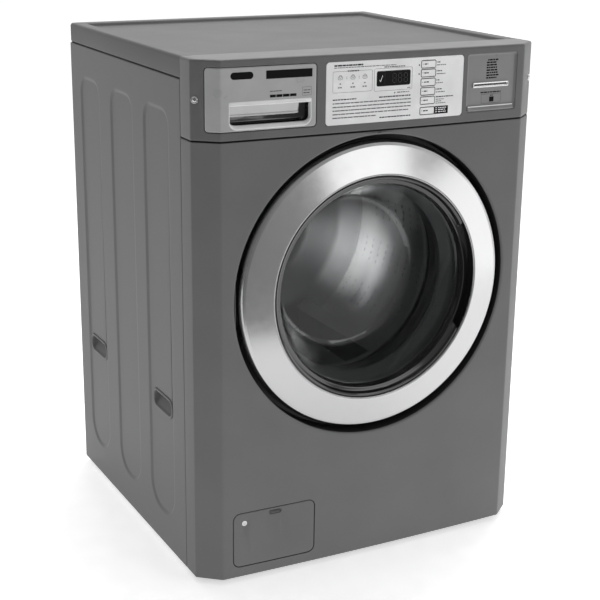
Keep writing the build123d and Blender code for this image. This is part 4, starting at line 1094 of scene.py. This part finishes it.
def drum_wall():
    """Inner skin of the drum: groups of small holes in rows, a rolled front and mouth."""
    r = (drum_high.x - drum_low.x) / 2 - 1.5 * MM
    y0, y1 = drum_low.y + 15 * MM, drum_high.y - 2.2 * MM
    around, rows = HOLES_AROUND, HOLE_ROWS
    bm = bmesh.new()

    def at(u, v, depth=0):
        t = 2 * math.pi * u / around
        y = y0 + (y1 - y0) * v / rows
        return ((r + depth) * math.cos(t), y, AXIS_Z + (r + depth) * math.sin(t))
    corners = [[bm.verts.new(at(i, j)) for i in range(around)] for j in range(rows + 1)]
    hole = []
    for k in range(8):
        t = math.radians(45 * k - 135)
        hole.append((0.5 + HOLE_SIZE[0] * math.cos(t), 0.5 + HOLE_SIZE[1] * math.sin(t)))
    # Each hole is closed at its bottom by a dark disc: painted shade for the shadowed tub behind
    dark = bmesh.new()
    for j in range(rows):
        for i in range(around):
            n = (i + 1) % around
            quad = [corners[j][i], corners[j][n], corners[j + 1][n], corners[j + 1][i]]
            if j in (0, rows - 1) or i % 7 > 3 or j % 2 == (i // 7) % 2:
                bm.faces.new(quad)
                continue
            lip = [bm.verts.new(at(i + u, j + v)) for u, v in hole]
            deep = [bm.verts.new(at(i + u, j + v, HOLE_DEPTH)) for u, v in hole]
            for k in range(4):
                a, b = 2 * k, (2 * k + 1) % 8
                c = (2 * k + 2) % 8
                bm.faces.new((quad[k], lip[b], lip[a]))
                bm.faces.new((quad[k], quad[(k + 1) % 4], lip[c], lip[b]))
            bridge(bm, lip, deep)
            dark.faces.new([dark.verts.new(vert.co) for vert in deep])
    make(bm, "drum_skin", DRUM, "drum", ["drum_shell"], crease=40, weld=1e-6)
    make(dark, "drum_hole_shade", DARK_AND_SHADE, "drum")
    mouth = 196
    nose = drum_low.y / MM
    end = drum_high.y / MM
    front = [(mouth, 10), (mouth, 3.4), (mouth + 1.4, 0.8), (mouth + 3.6, 0.1), (mouth + 8.6, 3.6), (260, 4),
             (268.5, 9), (270.5, 15), (271.9, 15), (271.9, 194)]
    front = [(r, nose + y) for r, y in front] + [(271.9, end), (270.6, end), (270.6, end - 2)]
    lathe("drum_front", front, DRUM, "drum", closed=False)
    back = [(0.5, 7.6), (50, 7.6), (58, 7), (76, 2.6), (84, 2), (116, 2), (121, 3.4), (127, 4.4),
            (134, 4.4), (140, 3.4), (145, 2), (196, 2), (201, 3.6), (210, 4.2), (219, 3.6), (224, 2),
            (262, 2), (270.4, 1.2), (270.4, 0.2), (78, 0.2), (58, 6), (0.5, 6)]
    lathe("drum_disc", [(r, end - y) for r, y in back], DRUM_BACK, "drum", ["drum_back"])


# --- Springs and hose between the tub and the cabinet ---

def tube(bm, path, radius, sides):
    """Rings of a round tube along a list of points."""
    rings, side = [], None
    for i, p in enumerate(path):
        ahead = (path[min(i + 1, len(path) - 1)] - path[max(i - 1, 0)]).normalized()
        side = side or ahead.orthogonal()
        side = (side - ahead * side.dot(ahead)).normalized()
        other = ahead.cross(side)
        turns = [2 * math.pi * k / sides for k in range(sides)]
        rings.append(loop(bm, [p + (side * math.cos(t) + other * math.sin(t)) * radius for t in turns]))
    bridges(bm, rings)
    return rings


def springs():
    """Four coil springs that stretch between the cross braces and the tub."""
    low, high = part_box("suspension_springs")
    wire, coil, turns, sides = 2.2 * MM, 14 * MM, 11, 16
    bottom, top = low.z + wire + 0.2 * MM, high.z - wire - 0.2 * MM
    reach = 16.2 * MM
    bm = bmesh.new()
    for x in (low.x + reach, high.x - reach):
        for y in (low.y + reach, high.y - reach):
            path = []
            for k in range(sides * turns + 1):
                t = 2 * math.pi * k / sides
                rise = (top - bottom) * k / (sides * turns)
                path.append(Vector((x + coil * math.cos(t), y + coil * math.sin(t), bottom + rise)))
            rings = tube(bm, path, wire, 8)
            bm.faces.new(rings[0])
            bm.faces.new(rings[-1])
    coils = make(bm, "spring_coils", ZINC, None, ["suspension_springs"])
    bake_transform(coils)


def sump_tube():
    """Rubber hose from the tub's sump spout down to the pump."""
    low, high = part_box("sump_hose")
    r = 17 * MM
    upper = Vector((high.x - r, high.y - r, high.z))
    lower = Vector((low.x + r, low.y + r, low.z))
    corners = [upper, upper - Vector((0, 0, 36 * MM)), lower + Vector((0, 0, 37 * MM)), lower]
    path = rounded_path(corners, [18 * MM, 18 * MM], 6)
    bm = bmesh.new()
    outer, inner = tube(bm, path, r, 32), tube(bm, path, 14 * MM, 32)
    for k in (0, -1):
        bridge(bm, outer[k], inner[k])
    hose = make(bm, "sump_tube", HOSE, None, ["sump_hose"])
    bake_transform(hose)


# --- Badges ---

def badges():
    """Plain dark patches and small bars on the drawer face."""
    up = INK_UP
    ink, pale = bmesh.new(), bmesh.new()
    box = s_box(-285 * MM, -244 * MM, 921 * MM, 933 * MM)
    front_piece(ink, rect_at(box, 5.9, S_CUTS)(0), depth=up)
    strip(ink, -221, -135.5, 919.5, 933.5, up)
    words(pale, -214, -192, 898.8, 1.6, up, 3, 7)
    words(ink, -214, -165, 890.8, 4.6, up, 9, 13)
    outline(pale, -154, -137, 888.5, 903, 1, 0.5, up)
    words(pale, -152, -139, 897.5, 1.5, up, 5, 8)
    words(ink, -152, -139, 893, 1.3, up, 4, 6)
    make(ink, "badge_dark", INK_AND_SHADE, "drawer")
    make(pale, "badge_small", PALE_INK, "drawer")


side_panel("side_left", "left_side_panel", -1)
side_panel("side_right", "right_side_panel", 1)
side_grips()
lid()
front_skin()
flap()
housing()
drawer()
overlay()
display()
key_caps()
payment()
lock_fronts()
springs()
sump_tube()
badges()
door()
drum_wall()

# --- Finishes of the pieces shown straight from the solid model ---

# Material, then each piece with the width of its softened edges in millimetres
FINISH = {
    GALVANISED: {"rear_panel": 0.8, "rear_access_cover": 1.2, "base_pan": 0.8, "cross_braces": 0,
                 "rotor": 0.8},
    FOOT: {"levelling_feet": 0.8},
    BOARD: {"control_board": 0},
    TRAY: {"drawer_tray": 0.8, "dispenser_housing": 1},
    DARK_AND_SHADE: {"filter_housing": 1, "filter_cap": 1.5, "drain_pump": 1.5, "drain_outlet": 0.8,
           "supply_gland": 0.8, "door_lock": 0, "damper_cylinders": 0, "hinge_bracket": 0.5,
           "hinge_arm": 0.4},
    HOSE: {"drain_hose": 0},
    BRASS: {"inlet_valves": 0.8},
    ZINC: {"cabinet_screws": 0.5, "damper_rods": 0},
    BRIGHT: {"latch_hook": 0.6, "drum_shaft": 0, "drum_bearings": 0},
    TUB: {"tub_front": 1, "tub_rear": 1},
    CAST: {"counterweights": 4},
    COPPER: {"stator": 0},
    DRUM: {"drum_lifters": 5},
    ALLOY: {"drum_spider": 2},
}
for material, pieces in FINISH.items():
    for name, soft in pieces.items():
        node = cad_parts[name]
        node.data.materials.clear()
        node.data.materials.append(material)
        if soft:
            bevel = node.modifiers.new("soft edges", "BEVEL")
            bevel.width = soft * MM
            bevel.segments = 3
            bevel.limit_method = "ANGLE"
            bevel.angle_limit = math.radians(35)

# --- Floor, light and camera ---

floor = bpy.data.meshes.new("floor")
floor.from_pydata([(-5, -1.35, 0), (6, -1.35, 0), (6, 9, 0), (-5, 9, 0)], [], [(0, 1, 2, 3)])
floor_obj = add("floor", floor)
pale = plastic("pale_floor", 0.85, rough=0.65, grain=0.02, scale=40)
pale.node_tree.nodes["Principled BSDF"].inputs["Emission Color"].default_value = (1, 1, 1, 1)
pale.node_tree.nodes["Principled BSDF"].inputs["Emission Strength"].default_value = 0.55
floor.materials.append(pale)

world = bpy.context.scene.world or bpy.data.worlds.new("world")
bpy.context.scene.world = world
world.use_nodes = True
nodes, links = world.node_tree.nodes, world.node_tree.links
nodes.clear()
coords = nodes.new("ShaderNodeTexCoord")
toward = nodes.new("ShaderNodeVectorMath")
toward.operation = "DOT_PRODUCT"
toward.inputs[1].default_value = (-0.75, -0.66, 0)
ramp = nodes.new("ShaderNodeValToRGB")
ramp.color_ramp.interpolation = "EASE"
stops = [(0.13, 1.03), (0.19, 0.95), (0.30, 0.75), (0.60, 0.50), (0.80, 0.36), (0.92, 0.22), (1, 0.18)]
while len(ramp.color_ramp.elements) < len(stops):
    ramp.color_ramp.elements.new(0.5)
for element, (place, value) in zip(ramp.color_ramp.elements, stops):
    element.position = place
    element.color = (value, value, value, 1)
shift = nodes.new("ShaderNodeMapRange")
shift.inputs["From Min"].default_value = -1
shift.inputs["From Max"].default_value = 1
background = nodes.new("ShaderNodeBackground")
background.inputs["Strength"].default_value = 1
output = nodes.new("ShaderNodeOutputWorld")
links.new(coords.outputs["Generated"], toward.inputs[0])
links.new(toward.outputs["Value"], shift.inputs["Value"])
links.new(shift.outputs["Result"], ramp.inputs["Fac"])
links.new(ramp.outputs["Color"], background.inputs["Color"])
links.new(background.outputs["Background"], output.inputs["Surface"])


def area(name, at, target, size, power):
    """Soft rectangular lamp that faces a target."""
    light = bpy.data.lights.new(name, "AREA")
    light.shape = "RECTANGLE"
    light.size, light.size_y = size
    light.energy = power
    obj = add(name, light)
    obj.location = at
    obj.rotation_euler = (Vector(target) - Vector(at)).to_track_quat("-Z", "Y").to_euler()
    return obj


area("top_softbox", (0.6, 0.9, 3.2), (0, 0, 0.9), (2.6, 2.2), 60)
area("front_softbox", (1.2, -2.7, 1.15), (0, -0.33, 0.77), (1.2, 0.9), 5)
area("right_softbox", (1.9, -1.6, 0.35), (0.24, -0.33, 0.53), (1.2, 1.2), 4.8)
inside = area("drum_light", (0.03, 0.08, 0.56), (0.256, 0.15, 0.45), (0.05, 0.03), 0.18)
inside.data.spread = math.radians(48)
inside.visible_camera = False
inside.visible_transmission = False

LENS = 81.29
CAMERA_AT = (-1.2081, -2.3465, 1.2386)
CAMERA_TURN = (-27.63, 17.34, -0.67)  # azimuth, elevation and roll in degrees

camera = add("camera", bpy.data.cameras.new("camera"))
camera.data.lens = LENS
camera.data.sensor_width = 36
azimuth, elevation, roll = (math.radians(angle) for angle in CAMERA_TURN)
back = Vector((math.sin(azimuth) * math.cos(elevation), -math.cos(azimuth) * math.cos(elevation),
               math.sin(elevation)))
level = Vector((math.cos(azimuth), math.sin(azimuth), 0))
above = back.cross(level)
right = level * math.cos(roll) - above * math.sin(roll)
up = level * math.sin(roll) + above * math.cos(roll)
turn = Matrix((right, up, back)).transposed().to_4x4()
camera.matrix_world = Matrix.Translation(CAMERA_AT) @ turn
bpy.context.scene.camera = camera
bpy.context.scene.view_settings.view_transform = "Standard"
